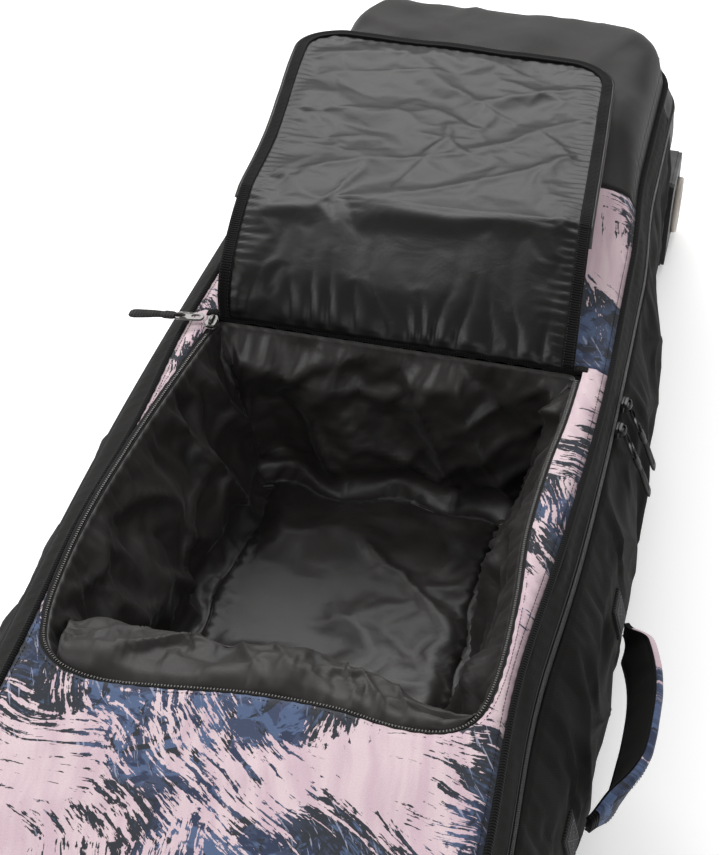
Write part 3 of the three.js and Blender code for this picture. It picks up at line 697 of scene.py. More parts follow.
def side_reach(side, y, z):
    """Distance of a side from the centre line; the left shoulder slumps out by the opening."""
    width, swell, slump, length, radius = section(z)
    along = np.minimum(1, np.abs(y) / (length - radius))
    depth = swell + (slump if side < 0 else 0)
    reach = width + depth * (1 - along * along) ** 1.5
    seam = smoothstep(0.178, 0.198, z)
    if side < 0:
        slack = smoothstep(0.07, 0.15, z) * (1 - smoothstep(0.182, 0.198, z))
        reach = reach + slack * 8.5 * MM * bell(y, 0.10, 0.34)
        reach = reach + seam * (5.5 * MM * bell(y, -0.045, 0.09) + 5.0 * MM * bell(y, 0.20, 0.09))
    else:
        pinch = smoothstep(0.15, 0.175, z)
        reach = reach - pinch * 8.0 * MM * bell(y, -0.13, 0.11)
        reach = reach + (seam * 4.0 + pinch * 1.5) * MM * bell(y, 0.20, 0.15)
    return reach * waist(y)


def waist(y):
    """The bag draws in a little towards its wheels."""
    return 1 - 0.045 * smoothstep(0.40, 0.56, y)


def side_points(side, y, z, inset=0.0):
    """Points of a long side, moved in by the inset."""
    y, z = np.broadcast_arrays(y, z)
    return np.stack([side * (side_reach(side, y, z) - inset), y, z], axis=-1)


def end_columns(end, z, across=40):
    """Points round one end at each height, rows first; columns run anticlockwise round the bag."""
    z = np.asarray(z, float)[:, None]
    width, _, _, length, radius = section(z)
    straight = length - radius
    lead, corner = 4, 12
    parts = []
    for i in range(lead):
        parts.append((width, SIDE_END + (straight - SIDE_END) * i / lead))
    for i in range(corner):
        a = math.pi / 2 * i / corner
        parts.append((width - radius + radius * math.cos(a), straight + radius * math.sin(a)))
    for i in range(across + 1):
        parts.append(((width - radius) * (1 - 2 * i / across), length))
    for i in range(1, corner + 1):
        a = math.pi / 2 * (1 + i / corner)
        parts.append((-(width - radius) + radius * math.cos(a), straight + radius * math.sin(a)))
    for i in range(1, lead + 1):
        parts.append((-width, straight + (SIDE_END - straight) * i / lead))
    x, y = (np.concatenate([p[k] for p in parts], axis=1) for k in (0, 1))
    y = y * end
    return np.stack([x * waist(y), y, np.broadcast_to(z, x.shape)], axis=-1)[:, ::end]


def outward(grid):
    """Horizontal normals of a wall grid whose columns run round the bag."""
    t = np.gradient(grid, axis=1)
    return unit(np.stack([t[..., 1], -t[..., 0], np.zeros(t.shape[:2])], axis=-1))


def seam_line(z, count, inset=0.0):
    """The whole outline at one height, anticlockwise from the right side's near end."""
    y = np.linspace(-SIDE_END, SIDE_END, 260)
    right = side_points(1, y, z)
    left = side_points(-1, y[::-1], z)
    top = end_columns(1, [z])[0]
    bottom = end_columns(-1, [z])[0]
    line = np.vstack([right[:-1], top[:-1], left[:-1], bottom[:-1]])
    line = even(np.vstack([line, line[:1]]), count, closed=True)
    t = tangents(line, closed=True)
    n = unit(np.stack([t[:, 1], -t[:, 0], 0 * t[:, 0]], axis=1))
    return line - n * inset, n


# ---------------------------------------------------------------- walls

def grip(node, axis):
    """A handle's middle along the wall and up, and its half span."""
    low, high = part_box(node)
    return (low[axis] + high[axis]) / 2, (low[2] + high[2]) / 2, (high[axis] - low[axis]) / 2


HANDLE_Y, HANDLE_Z, HANDLE_SPAN = grip("side_handle_grip", 1)
END_HANDLE_Z, END_HANDLE_SPAN = grip("end_handle_grip", 0)[1:]


def sewn_spots(middle, height, span):
    """Where a handle's two ends are sewn on: middle along and up, half width and half height."""
    return [(middle + sign * (span + 0.018), height, 0.024, 0.022) for sign in (1, -1)]


def nearness(spot, along, z):
    """Below 1 within a sewn spot, growing outside it."""
    return np.maximum(np.abs(along - spot[0]) / spot[2], np.abs(z - spot[1]) / spot[3])


def flattened(relief, spots, along, z):
    """The folds of a wall, without those where something is sewn to it."""
    for spot in spots:
        free = smoothstep(0.9, 1.5, nearness(spot, along, z))
        relief = relief * free - 0.2 * MM * (1 - free)
    return relief


def wall_relief(along, z, low, high, seed, strength=1.0):
    """How far the cloth of a wall stands out or in: diagonal folds, and puckers at its seams."""
    drape = layered(along, z, 0.35, (3.6, seed, 0.95, 0.050, 0.22), (2.4, seed + 3, -0.7, 0.065, 0.26))
    drape = drape + 1.6 * MM * clouds(along / 0.06, z / 0.05, seed + 5, 3)
    edge = np.minimum(z - low, high - z)
    pucker = gathers(along, 0.0105, 2.4 * noise(along / 0.03, 0, seed + 7))
    pucker = 0.55 * MM * pucker * np.exp(-np.maximum(edge, 0) / 0.011)
    return strength * (drape * smoothstep(0.0, 0.030, edge)) + pucker * smoothstep(-0.001, 0.004, edge)


def side_wall(side, low, high, rows, columns, seed, spots):
    """One long side's points and flat coordinates; its columns run anticlockwise round the bag."""
    y = np.linspace(-SIDE_END, SIDE_END, columns)[::side]
    z = np.linspace(low, high, rows)
    grid = side_points(side, y[None, :], z[:, None])
    flat = np.broadcast_arrays(y[None, :], z[:, None])
    relief = flattened(wall_relief(*flat, low, high, seed), spots, *flat)
    grid = grid + outward(grid) * relief[..., None]
    return grid, np.stack(np.meshgrid(y * side, z), axis=-1)


def end_wall(end, low, high, rows, seed, strength, spots=()):
    """The same for an end of the bag with its two corners."""
    z = np.linspace(low, high, rows)
    grid = end_columns(end, z)
    along = travelled(grid)
    high_up = z[:, None] + 0 * along
    relief = wall_relief(along, high_up, low, high, seed, strength)
    relief = flattened(relief, spots, grid[..., 0], high_up)
    return grid + outward(grid) * relief[..., None], np.stack([along, high_up], axis=-1)


def wall(grid, uv, thickness=WALL):
    """The same for a grid of points."""
    return thick(grid.reshape(-1, 3), grid_faces(*grid.shape[:2]), thickness, uv.reshape(-1, 2))


def housing_cutter():
    """Both wheel housings' side outline, grown slightly, as two solids that reach out of the bag."""
    low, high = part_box("wheel_housing_right")
    grow, axle, radius = 1.6 * MM, (0.768, 0.064), 0.065
    near, top = low[1] - grow, high[2] + grow
    points = [(near, -0.02), (axle[0] + radius, -0.02), (axle[0] + radius, 0.060)]
    turns = [math.pi / 2 * i / 8 for i in range(9)]
    points += [(axle[0] + radius * math.cos(a), axle[1] + (top - axle[1]) * math.sin(a)) for a in turns]
    turns = [math.pi / 2 * (1 + i / 8) for i in range(9)]
    points += [(near + 0.026 * (1 + math.cos(a)), top - 0.030 * (1 - math.sin(a))) for a in turns]
    n = len(points)
    ring = np.arange(n)
    sides = np.stack([ring, (ring + 1) % n, (ring + 1) % n + n, ring + n], 1)
    for side in (1, -1):
        x0, x1 = sorted((side * (low[0] - grow), side * 0.3))
        verts = np.array([(x, y, z) for x in (x0, x1) for y, z in points])
        part = make("housing_cutter", verts, [sides, *caps(n, 1)], MATERIALS["plastic"], flat=True)
        face_outwards(part)
        yield part


def cut(obj, cutters):
    """Takes the cutters' solids out of an object."""
    for cutter in cutters:
        mod = obj.modifiers.new("cut", "BOOLEAN")
        mod.operation, mod.object, mod.solver = "DIFFERENCE", cutter, "EXACT"
    apply_modifiers(obj)


def apply_modifiers(obj):
    """Makes an object's modifiers part of its mesh."""
    done = bpy.data.meshes.new_from_object(obj.evaluated_get(bpy.context.evaluated_depsgraph_get()))
    obj.modifiers.clear()
    obj.data = done


def build_walls():
    """Loose gussets on the long sides, the wrap round the wheels and the panel at the top end."""
    low, high = 0.0086, 0.1707
    rows, columns = 30, 260
    for side, label, seed, spots in ((1, "right", 11, sewn_spots(HANDLE_Y, HANDLE_Z, HANDLE_SPAN)),
                                     (-1, "left", 31, [])):
        grid, uv = side_wall(side, low, high, rows, columns, seed, spots)
        pin = held(rows, columns, 1, 1, 1)
        for spot in spots:
            pin = pin | (nearness(spot, grid[..., 1], grid[..., 2]) < 1.1)
        faces = grid_faces(rows, columns)
        loose = relax(grid.reshape(-1, 3), faces, pin, grow=0.02, frames=12, cap=5 * MM, bend=1.2)
        solid = thick(loose, faces, WALL, uv.reshape(-1, 2))
        obj = lay(f"gusset_cloth_{label}", solid, "gusset", "bag_base", "gusset", f"gusset_{label}")
    cutters = list(housing_cutter())
    verts, faces, uv = wall(*end_wall(1, low, high, rows, 51, 0.6))
    wheel_end = make("wheel_end_cloth", verts, faces, MATERIALS["wrap"], uv)
    cut(wheel_end, cutters)
    put(wheel_end, "bag_base", "wrap", "wheel_end_panel")
    top_end = end_wall(-1, low, high, rows, 71, 0.8, sewn_spots(0, END_HANDLE_Z, END_HANDLE_SPAN))
    lay("top_end_cloth", wall(*top_end), "gusset", "bag_base", "gusset", "top_end_panel")
    for cutter in cutters:
        bpy.data.objects.remove(cutter)


def build_back():
    """Padded back panel with a rolled edge, cut off straight where the kick plate begins."""
    n = 520
    rings = []
    for z, inset in ((0.0, 0.012), (0.0008, 0.005), (0.003, 0.0012), (0.0062, 0.0), (0.0088, 0.0006),
                     (0.0100, 0.003)):
        line, _ = seam_line(z, n, inset)
        ripple = 0.5 * MM * noise(line[:, 0] / 0.03, line[:, 1] / 0.03, 3) if z > 0.001 else 0
        line[:, 2] = np.clip(z + ripple, 0, 0.0101)
        rings.append(line)
    inner = [rings[0] * np.array([f, f, 0]) for f in (0.05, 0.35, 0.7, 0.9)]
    upper = [rings[-1] * np.array([f, f, 1]) for f in (0.9, 0.6, 0.05)]
    stack = np.vstack(inner + rings + upper)
    rows = len(stack) // n
    stack[:, 1] = np.minimum(stack[:, 1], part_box("kick_plate")[0][1] - 0.0006)
    faces = [grid_faces(rows, n, wrap=True), *caps(n, rows - 1)]
    lay("back_cloth", (stack, faces, stack[:, :2]), "gusset", "bag_base", "gusset", "back_panel")


# ---------------------------------------------------------------- boot compartment outline

LEFT_SIDE = [(-0.157, 0.216), (-0.165, 0.150), (-0.1735, 0.060), (-0.1785, -0.030), (-0.1765, -0.100)]
NEAR_SIDE = [(-0.1700, -0.150), (-0.1560, -0.182), (-0.1250, -0.1975), (-0.070, -0.1945), (-0.010, -0.1855),
             (0.050, -0.1840), (0.100, -0.1900), (0.1330, -0.1860), (0.1510, -0.166)]
RIGHT_SIDE = [(0.1565, -0.120), (0.1550, -0.050), (0.1500, 0.020), (0.1515, 0.100), (0.1560, 0.160),
              (0.158, 0.216)]


def right_of(t):
    """Directions in the plane, turned a quarter to the right."""
    return np.stack([t[:, 1], -t[:, 0]], axis=1)


def zip_run(count):
    """The opening's zipped edge, from the hinge down the left, along the near side and back."""
    line = spline(LEFT_SIDE + NEAR_SIDE + RIGHT_SIDE, count)
    return line, right_of(tangents(line))


def opening_loop(offset, count=420):
    """The whole opening, closed by the hinge line, moved out by the offset."""
    line, n = zip_run(900)
    run = line + n * offset
    far, radius = HINGE_Y + offset, 0.006
    left, right = run[0, 0], run[-1, 0]
    head = [(right, far - radius), (right - radius * 0.3, far - radius * 0.3), (right - radius, far)]
    tail = [(left + radius, far), (left + radius * 0.3, far - radius * 0.3), (left, far - radius)]
    return even(np.vstack([run, head, tail, run[:1]]), count, closed=True)


# ---------------------------------------------------------------- front panel and wrap

def wrap_line(x):
    """Where the printed panel stops and the plain wrap of the wheeled end begins."""
    return np.interp(np.abs(x), [0.0, 0.116, 0.182, 0.25], [0.562, 0.562, 0.480, 0.480])


FRONT_EDGE = seam_line(0.2035, 760, 0.6 * MM)[0][:, :2]
HEM = 5.2 * MM  # from the coil line to the edge of the printed panel
BOOT_ZIP_Z = 0.2046
OPENING_EDGE = opening_loop(HEM)


def front_height(points):
    """Height of the front of the bag: rolled at the seams, soft waves, domed by the wheels."""
    edge, near = distance_to(points, FRONT_EDGE), distance_to(points, OPENING_EDGE)
    x, y = points[:, 0], points[:, 1]
    z = 0.2015 + 0.0052 * np.sin(np.minimum(1, edge / 0.011) * math.pi / 2)
    dome = np.sqrt(np.clip(1 - (1 - np.minimum(1, edge / 0.042)) ** 2, 0, 1))
    z = z + (0.0445 + 0.0025 * smoothstep(0.655, 0.71, y)) * smoothstep(0.40, 0.62, y) * dome
    crease = folds(x, y, 17, 1.1, 0.060, 0.22, 1.3) + 0.8 * folds(x, y, 19, -0.5, 0.075, 0.25, 1.3)
    z = z + 5.0 * MM * (crease - 0.75) * smoothstep(0.50, 0.60, y) * smoothstep(0.006, 0.03, edge)
    crumple = folds(x, y, 23, 0.85, 0.042, 0.14, 1.8) + 0.7 * folds(x, y, 26, -0.35, 0.036, 0.11, 1.8)
    crumple = (2.5 * (crumple - 0.5) + 1.6 * clouds(x / 0.05, y / 0.05, 28, 3)) * MM
    z = z + crumple * smoothstep(0.52, 0.60, y) * smoothstep(0.008, 0.030, edge)
    wave = 2.4 * MM * clouds(x / 0.13, y / 0.11, 5, 3) + layered(x, y, 0.4, (1.7, 8, 0.5, 0.07, 0.3))
    z = z + wave * smoothstep(0.004, 0.05, edge) * smoothstep(0.0, 0.05, near)
    z = z + 0.7 * MM * (1 - smoothstep(0.004, 0.009, near))
    pucker = gathers(x + y, 0.012, 3 * noise(x / 0.03, y / 0.03, 4))
    return z + 0.35 * MM * pucker * np.exp(-near / 0.009) + 0.3 * MM * pucker * np.exp(-edge / 0.008)


def front_sheet(name, outline, spacing, material, slot, *nodes):
    """A panel of the front, cut flat and sewn taut round its edge, with a nylon backing."""
    flat, faces = region(densify(outline, 0.008), [], spacing)
    verts = np.column_stack([flat, front_height(flat)])
    obj = lay(name, thick(verts, faces, 3 * MM, flat), material, "lid", slot, *nodes)
    obj.data.materials.append(MATERIALS["backing"])
    for polygon in list(obj.data.polygons)[len(faces):2 * len(faces)]:
        polygon.material_index = 1
    x, y = outline[:, 0], outline[:, 1]
    area = abs(float(np.sum(x * np.roll(y, -1) - y * np.roll(x, -1)))) / 2


def clip_y(polygon, limit, above):
    """The part of a polygon on one side of a line across the bag, given as a function of x."""
    out = []
    for a, b in zip(polygon, np.roll(polygon, -1, axis=0)):
        da, db = a[1] - limit(a[0]), b[1] - limit(b[0])
        if not above:
            da, db = -da, -db
        if da >= 0:
            out.append(a)
        if da * db < 0:
            t = da / (da - db)
            out.append(a + (b - a) * t)
    return np.array(out)


def densify(polygon, spacing):
    """A closed outline with points added so that none are far apart."""
    out = []
    for a, b in zip(polygon, np.roll(polygon, -1, axis=0)):
        n = max(1, int(np.linalg.norm(b - a) / spacing))
        out.extend(a + (b - a) * k / n for k in range(n))
    return np.array(out)


def near_outline(seam):
    """The near panel: down the bag's left edge, round the near end, up, and in round the opening."""
    below = FRONT_EDGE[:, 1] < seam
    start = np.nonzero(below & ~np.roll(below, 1))[0][0]
    outer = np.roll(FRONT_EDGE, -start, axis=0)[:below.sum()]
    outer = np.vstack([[outer[0, 0], seam], outer, [outer[-1, 0], seam]])
    line, n = zip_run(420)
    inner = (line + n * HEM)[::-1]
    inner = np.vstack([[inner[0, 0], seam], inner, [inner[-1, 0], seam]])
    return np.vstack([outer, inner])


def build_front():
    """Near panel around the opening, the part beside and under the flap, and the wrap."""
    seam, gap = HINGE_Y + 0.0095, 0.00002
    front_sheet("front_print_near", near_outline(seam), 0.0075, "print", "print", "front_panel")
    far = clip_y(FRONT_EDGE, lambda x: seam + 2 * gap, above=True)
    far = clip_y(far, lambda x: wrap_line(x) - gap, above=False)
    front_sheet("front_print_far", far, 0.0085, "print_far", "print")
    wrap = clip_y(FRONT_EDGE, lambda x: wrap_line(x) + gap, above=True)
    front_sheet("front_wrap_cloth", wrap, 0.008, "wrap", "wrap", "front_wrap")


def build_piping():
    """Corded seam round the front, with a stitched lip on the panel side."""
    line, n = seam_line(SEAM_Z, 900)
    line = line - n * 1.0 * MM
    line[:, 2] += 1.2 * MM
    up = everywhere(UP, len(line))
    cord = sweep(line, n, up, oval(2.9 * MM, 2.7 * MM, 10), closed=True)
    lay("front_cord", cord, "binding", "lid", "binding", "front_piping")
    near = line - n * 6.2 * MM
    near[:, 2] = front_height(near[:, :2]) + 0.15 * MM
    near, n, up = (np.vstack([a, a[:1]]) for a in (near, n, up))
    lay("front_stitching", teeth(near, n, up, 3.6, (2.5, 0.55, 0.5)), "thread", "lid", "binding")


def band_relief(grid, seed, amount):
    """Short diagonal ribs and slack in the narrow band between the zip and the front seam."""
    along = travelled(grid)
    rows = np.linspace(0, 1, grid.shape[0])[:, None]
    slack = 1.5 * MM * clouds(along / 0.05, rows, seed, 2) * np.sin(rows * math.pi)
    rib = gathers(along + rows * 0.010, 0.013, 1.5 * noise(along / 0.05, 0, seed))
    relief = (slack + 0.5 * MM * rib * np.sin(rows * math.pi)) * amount
    return grid + outward(grid) * relief[..., None], along


def build_lid_bands():
    """The narrow bands of cloth between the zip or the hinge and the front seam."""
    z = np.linspace(ZIP_Z + 0.005, SEAM_Z - 0.0012, 9)
    y = np.linspace(-SIDE_END, SIDE_END, 300)[None, :]
    for label, slot, seed, amount, grid in (
            ("right", "gusset", 61, 1.0, side_points(1, y, z[:, None])),
            ("left", "gusset", 59, 1.0, side_points(-1, y[:, ::-1], z[:, None])),
            ("wheel_end", "wrap", 71, 1.2, end_columns(1, z, 90)),
            ("top_end", "gusset", 69, 1.2, end_columns(-1, z, 90))):
        grid, along = band_relief(grid, seed, amount)
        uv = np.stack([along, z[:, None] + 0 * along], -1)
        lay(f"lid_band_cloth_{label}", wall(grid, uv), slot, "lid", slot, f"lid_band_{label}")


def main_zip_line(z, inset, count=1700):
    """Round the wheeled end, down the right side and round the other end."""
    top, bottom = (end_columns(end, [z])[0][::-1] for end in (1, -1))
    right = side_points(1, np.linspace(SIDE_END, -SIDE_END, 300), z)
    line = even(np.vstack([top[:-1], right[:-1], bottom]), count)
    t = tangents(line)
    n = unit(np.stack([-t[:, 1], t[:, 0], 0 * t[:, 0]], axis=1))
    return line - n * inset, n


def build_main_zip():
    """Two ribbed tapes, each with its row of coil along the edge where they meet."""
    for label, low, high, body, toward in (("lower", ZIP_Z - 0.0063, ZIP_Z - 0.0003, "bag_base", 1),
                                           ("upper", ZIP_Z + 0.0003, ZIP_Z + 0.0056, "lid", -1)):
        line, n = main_zip_line((low + high) / 2, 3.0 * MM, 900)
        half, thick, middle = (high - low) / 2, 2.2 * MM, 2.6 * MM
        profile = [(thick, -half), (middle, -half * 0.5), (middle, half * 0.5), (thick, half),
                   (-thick, half), (-thick, -half)]
        tape = sweep(line, n, everywhere(UP, len(line)), profile)
        lay(f"main_zip_tape_{label}", tape, "tape", body, "zip", f"main_zip_{label}")
        edge, n = main_zip_line(ZIP_Z - toward * 0.9 * MM, -0.1 * MM)
        coil = teeth(edge, n, everywhere(UP, len(edge)), 1.5, (0.95, 1.2, 1.3))
        lay(f"main_zip_coil_{label}", coil, "coil", body, "zip", flat=True)


def build_hinge_strip():
    """On the left the cloth runs on from base to lid: a strip fixed in place, on neither body."""
    z = np.linspace(ZIP_Z - 0.0052, ZIP_Z + 0.0053, 7)
    y = np.linspace(SIDE_END, -SIDE_END, 260)
    grid = side_points(-1, y[None, :], z[:, None], 0.6 * MM)
    bulge = np.sin(np.linspace(0, math.pi, 7))[:, None]
    grid = grid + outward(grid) * (bulge * 0.8 * MM)[..., None]
    uv = np.stack(np.meshgrid(y, z), -1)
    verts, faces, uv = wall(grid, uv, 3.2 * MM)
    obj = make("lid_hinge_strip", verts, faces, MATERIALS["binding"], uv)
    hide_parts("lid_hinge_tape")
    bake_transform(obj)


def build_boot_zip():
    """Tape and coil round the opening, a hem line outside it and the hinge tape of the flap."""
    line, n = zip_run(900)
    waves = 0.9 * MM * clouds(line[:, 0] / 0.05, line[:, 1] / 0.05, 21, 2)
    path = np.column_stack([line, BOOT_ZIP_Z + waves])
    n = np.column_stack([n, np.zeros(len(n))])
    up = everywhere(UP, len(path))
    profile = np.array([(5.4, -1.6), (5.7, 0.4), (5.2, 1.9), (4.2, 1.7), (3.2, 0.6), (0.0, 0.3), (-0.8, -0.2),
                        (-0.8, -1.0), (3, -1.8)]) * MM
    lay("boot_zip_tape", sweep(path, n, up, profile), "tape", "lid", "zip", "boot_zip_fixed")
    coil = teeth(path, n, up, 2.3, (1.2, 2.6, 1.6), 1.6, 1.3, slant=0.1)
    lay("boot_zip_coil", coil, "boot_coil", "lid", "zip", flat=True)
    cord = sweep(path, n, up, oval(0.6 * MM, 0.5 * MM, 8) + np.array([3.1 * MM, 1.4 * MM]))
    lay("boot_zip_cord", cord, "tape", "lid", "zip")
    verts, faces = teeth(path, n, up, 3.2, (2.2, 0.5, 0.5), 7.6, 2.9)
    verts[:, 2] += front_height(verts[:, :2]) - 0.2079
    lay("opening_stitching", (verts, faces), "thread", "lid", "binding")

    y = HINGE_Y + np.linspace(-0.0135, 0.0045, 14)
    for side, label in ((-1, "left"), (1, "right")):
        run = np.column_stack([np.full(14, side * 0.1597), y, np.full(14, 0.2002)])
        tab = sweep(run, everywhere((1, 0, 0), 14), everywhere(UP, 14), oval(7.0 * MM, 0.9 * MM, 14, 2.6))
        lay("zip_end_tab_" + label, tab, "tape", "lid", "zip")

    low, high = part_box("flap_hinge_tape")
    x = np.linspace(low[0] - 0.012, high[0] + 0.012, 230)
    scallop = 1.3 * MM * np.abs(np.sin(x * math.pi / 0.017)) + 0.8 * MM * noise(x / 0.02, 0, 5)
    path = np.column_stack([x, HINGE_Y + 0.0052 + scallop * 0.6, 0.2048 + scallop])
    frames = everywhere((0, 1, 0), len(x)), everywhere(UP, len(x))
    band = sweep(path, *frames, oval(5.0 * MM, 2.5 * MM, 12, 2.6))
    lay("flap_hinge_band", band, "binding", "lid", "binding", "flap_hinge_tape")
    sewn = teeth(path, *frames, 3.4, (2.4, 0.6, 0.5), -1.6, 2.45)
    lay("flap_hinge_stitching", sewn, "thread", "lid", "binding")


# ---------------------------------------------------------------- lining of the compartment

TUB_TOP = 0.2040
TUB_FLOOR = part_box("boot_tub_floor")[0][2]
FLOOR_Z = TUB_FLOOR + 0.0035
TUB_COLUMNS = 380


def soften(loop, sigma):
    """A closed line with its corners eased; sigma is in points."""
    spectrum = np.fft.fft(loop, axis=0)
    f = np.fft.fftfreq(len(loop))[:, None]
    return np.real(np.fft.ifft(spectrum * np.exp(-2 * (math.pi * f * sigma) ** 2), axis=0))


def build_tub():
    """Loose nylon walls hang in folds from the zip and turn in at the floor."""
    loop = opening_loop(0.8 * MM, TUB_COLUMNS)
    eased = soften(loop, 5.0)
    n = right_of(tangents(eased, closed=True))
    along = travelled(loop)
    slope = 12 + 30 * np.maximum(0, -n[:, 0]) + 12 * np.maximum(0, n[:, 0]) + 14 * np.maximum(0, -n[:, 1])
    slope = soften(slope[:, None], 8.0)[:, 0] * MM
    wall_rows, bend_rows, corner = 32, 6, 0.020
    depth = TUB_TOP - FLOOR_Z - corner
    rows, drop = [], []
    for i in range(wall_rows):
        k = i / (wall_rows - 1)
        z = TUB_TOP - depth * k
        hang = layered(along, z, 0.3, (15.0, 41, 1.15, 0.055, 0.16, 1.0), (10.0, 44, 0.5, 0.050, 0.14, 1.1),
                       (6.5, 46, -0.6, 0.034, 0.10, 1.2))
        hang = hang + 2.4 * MM * clouds(along / 0.03, z / 0.03, 48, 3)
        gather = 1.3 * MM * gathers(along, 0.014, 2 * noise(along / 0.03, 0, 6))
        gather = gather * math.exp(-k / 0.08) * smoothstep(0.0, 0.04, k)
        inward = (1.6 * MM + gather) * smoothstep(0, 0.05, k) + (3.5 * MM + hang) * smoothstep(0.02, 0.20, k)
        inward = np.maximum(inward + slope * smoothstep(-0.1, 1.0, k), 0.4 * MM * smoothstep(0, 0.05, k))
        base = loop + (eased - loop) * smoothstep(0.0, 0.25, k)
        rows.append(np.column_stack([base - n * inward[:, None], np.full(TUB_COLUMNS, z)]))
        drop.append(depth * k)
    foot = soften(rows[-1][:, :2], 3.0)
    rows[-1][:, :2] = foot
    for i in range(1, bend_rows + 1):
        a = math.pi / 2 * i / bend_rows
        z = FLOOR_Z - 0.0012 + corner * (1 - math.sin(a))
        rows.append(np.column_stack([foot - n * corner * (1 - math.cos(a)), np.full(TUB_COLUMNS, z)]))
        drop.append(depth + corner * a)
    count = len(rows)
    faces = grid_faces(count, TUB_COLUMNS, wrap=True)[:, ::-1]
    flat = relax(np.vstack(rows), faces, held(count, TUB_COLUMNS, 2, 1, 0),
                 grow=0.05, frames=16, cap=9 * MM, bend=0.25)
    flat[:, 2] = np.clip(flat[:, 2], TUB_FLOOR + 0.0012, TUB_TOP + 0.001)
    uv = np.column_stack([np.tile(along, count), np.repeat(np.array(drop), TUB_COLUMNS)])
    solid = thick(flat, faces, 0.9 * MM, uv)
    walls = lay("boot_liner_walls", solid, "liner", "lid", "liner", "boot_tub_walls")
    build_tub_floor((flat[-TUB_COLUMNS:, :2] + n * 2.0 * MM)[::2])


def build_tub_floor(outline):
    """A slack panel that fills the foot of the walls."""
    points, faces = region(outline, [], 0.0065)
    edge = distance_to(points, outline)
    x, y = points[:, 0], points[:, 1]
    lift = layered(x, y, 0.35, (7.0, 52, 0.5, 0.075, 0.22, 1.0), (5.0, 55, -0.8, 0.065, 0.2, 1.1))
    lift = lift + 2.4 * MM * clouds(x / 0.045, y / 0.045, 57, 3) + 2.0 * MM
    pucker = 0.25 * MM * gathers(x - y, 0.013, 3 * noise(x / 0.04, y / 0.04, 58)) * np.exp(-edge / 0.010)
    z = FLOOR_Z + np.maximum(lift, 0.2 * MM) * smoothstep(0.0, 0.03, edge) + np.maximum(pucker, -0.5 * MM)
    flat = np.column_stack([points, z])
    flat = relax(flat, faces, edge < 0.004, grow=0.03, frames=12, cap=5 * MM, bend=0.3)
    flat[:, 2] = np.maximum(flat[:, 2], TUB_FLOOR + 0.0015)
    solid = thick(flat, faces, 0.9 * MM, points)
    base = lay("boot_liner_floor", solid, "liner", "lid", "liner", "boot_tub_floor")


def build_fold():
    """Facing sewn along the near edge: it lies inwards in creases and hangs over at its hem."""
    line, _ = zip_run(900)
    line = even(line[(line[:, 1] < -0.150) & (np.abs(line[:, 0]) < 0.150)], 190)
    x = line[:, 0]
    u = np.linspace(0, 1, len(line))
    n = unit(np.stack([-0.16 + 0.10 * u + 0.55 * smoothstep(0.86, 1.0, u), np.ones(len(u))], axis=1))
    width = 0.062 - 0.012 * u + 0.008 * noise(x / 0.07, 0, 3) + 0.004 * noise(x / 0.03, 0, 5)
    width = width * (1 - 0.62 * smoothstep(0.72, 1.0, u)) * (0.72 + 0.28 * smoothstep(0.0, 0.10, u))
    # How far in, as a share of the width, and how far down in millimetres.
    profile = [(0.0, 0.0), (0.10, 0.6), (0.25, 0.8), (0.42, -0.4), (0.60, -2.6), (0.76, -5.4), (0.90, -9.0),
               (0.985, -13.0), (1.0, -18.0), (0.985, -24.0), (0.96, -30.0), (0.95, -34.0)]
    along = travelled(line)
    grid = []
    for reach, drop in spline(profile, 38):
        deep = np.full_like(along, reach * 0.058 - drop * 0.4 * MM)
        lump = 2.6 * MM * clouds(along / 0.06, deep / 0.04, 81, 3)
        crease = layered(along, deep, 0.3, (6.0, 83, 0.6, 0.026, 0.09, 1.1), (4.5, 86, 1.9, 0.022, 0.08, 1.1))
        gather = 0.9 * MM * gathers(along, 0.013, 2 * noise(along / 0.03, 0, 16)) * math.exp(-reach / 0.16)
        rise = (lump + crease) * smoothstep(0.02, 0.35, reach) + gather * smoothstep(0.0, 0.05, reach)
        down = smoothstep(8.0, 16.0, -drop)
        inner = line + n * (reach * width)[:, None] + n * (rise * 0.8 * down)[:, None]
        grid.append(np.column_stack([inner, TUB_TOP + drop * MM + rise * (1 - 0.85 * down)]))
    grid = np.array(grid)
    rows, columns = grid.shape[:2]
    faces = grid_faces(rows, columns)
    flat = relax(grid.reshape(-1, 3), faces, held(rows, columns, 2, 0, 1),
                 grow=0.05, frames=14, cap=6 * MM, bend=0.3)
    deep = travelled(grid.mean(axis=1))
    uv = np.stack(np.meshgrid(along, deep), -1).reshape(-1, 2)
    obj = lay("boot_fold", thick(flat, faces, 1.2 * MM, uv), "fold", "lid", "liner", "liner_fold")


# ---------------------------------------------------------------- flap

FLAP_LENGTH = 0.437
FLAP_HALF = 0.150  # half width in the flap's own flat coordinates
FLAP_CORNER = 0.042
FLAP_MARGIN = 0.008  # of the cloth inside the flap's corded edge
FLAP_ZIP_FROM = 0.118  # the zip's half begins this far up the flap
# Side views of the flap (Y, Z) along its left and right edges: it climbs from the hinge,
# steeply on the left, and then lies back.
FLAP_LEFT = spline([(0.2262, 0.2065), (0.2340, 0.2270), (0.2560, 0.2440), (0.3000, 0.2580), (0.336, 0.2660),
                    (0.348, 0.2668), (0.42, 0.2640), (0.52, 0.2635), (0.660, 0.2625)], 500)
FLAP_RIGHT = spline([(0.2262, 0.2065), (0.2500, 0.2190), (0.2900, 0.2370), (0.3300, 0.2540), (0.352, 0.2632),
                     (0.362, 0.2650), (0.44, 0.2635), (0.54, 0.2625), (0.656, 0.2612)], 500)


def along_profile(profile, v):
    """Y and Z of a side view, v flat metres up from the hinge."""
    length = travelled(profile)
    at = np.clip(v / FLAP_LENGTH, 0, 1) * length[-1]
    return np.interp(at, length, profile[:, 0]), np.interp(at, length, profile[:, 1])


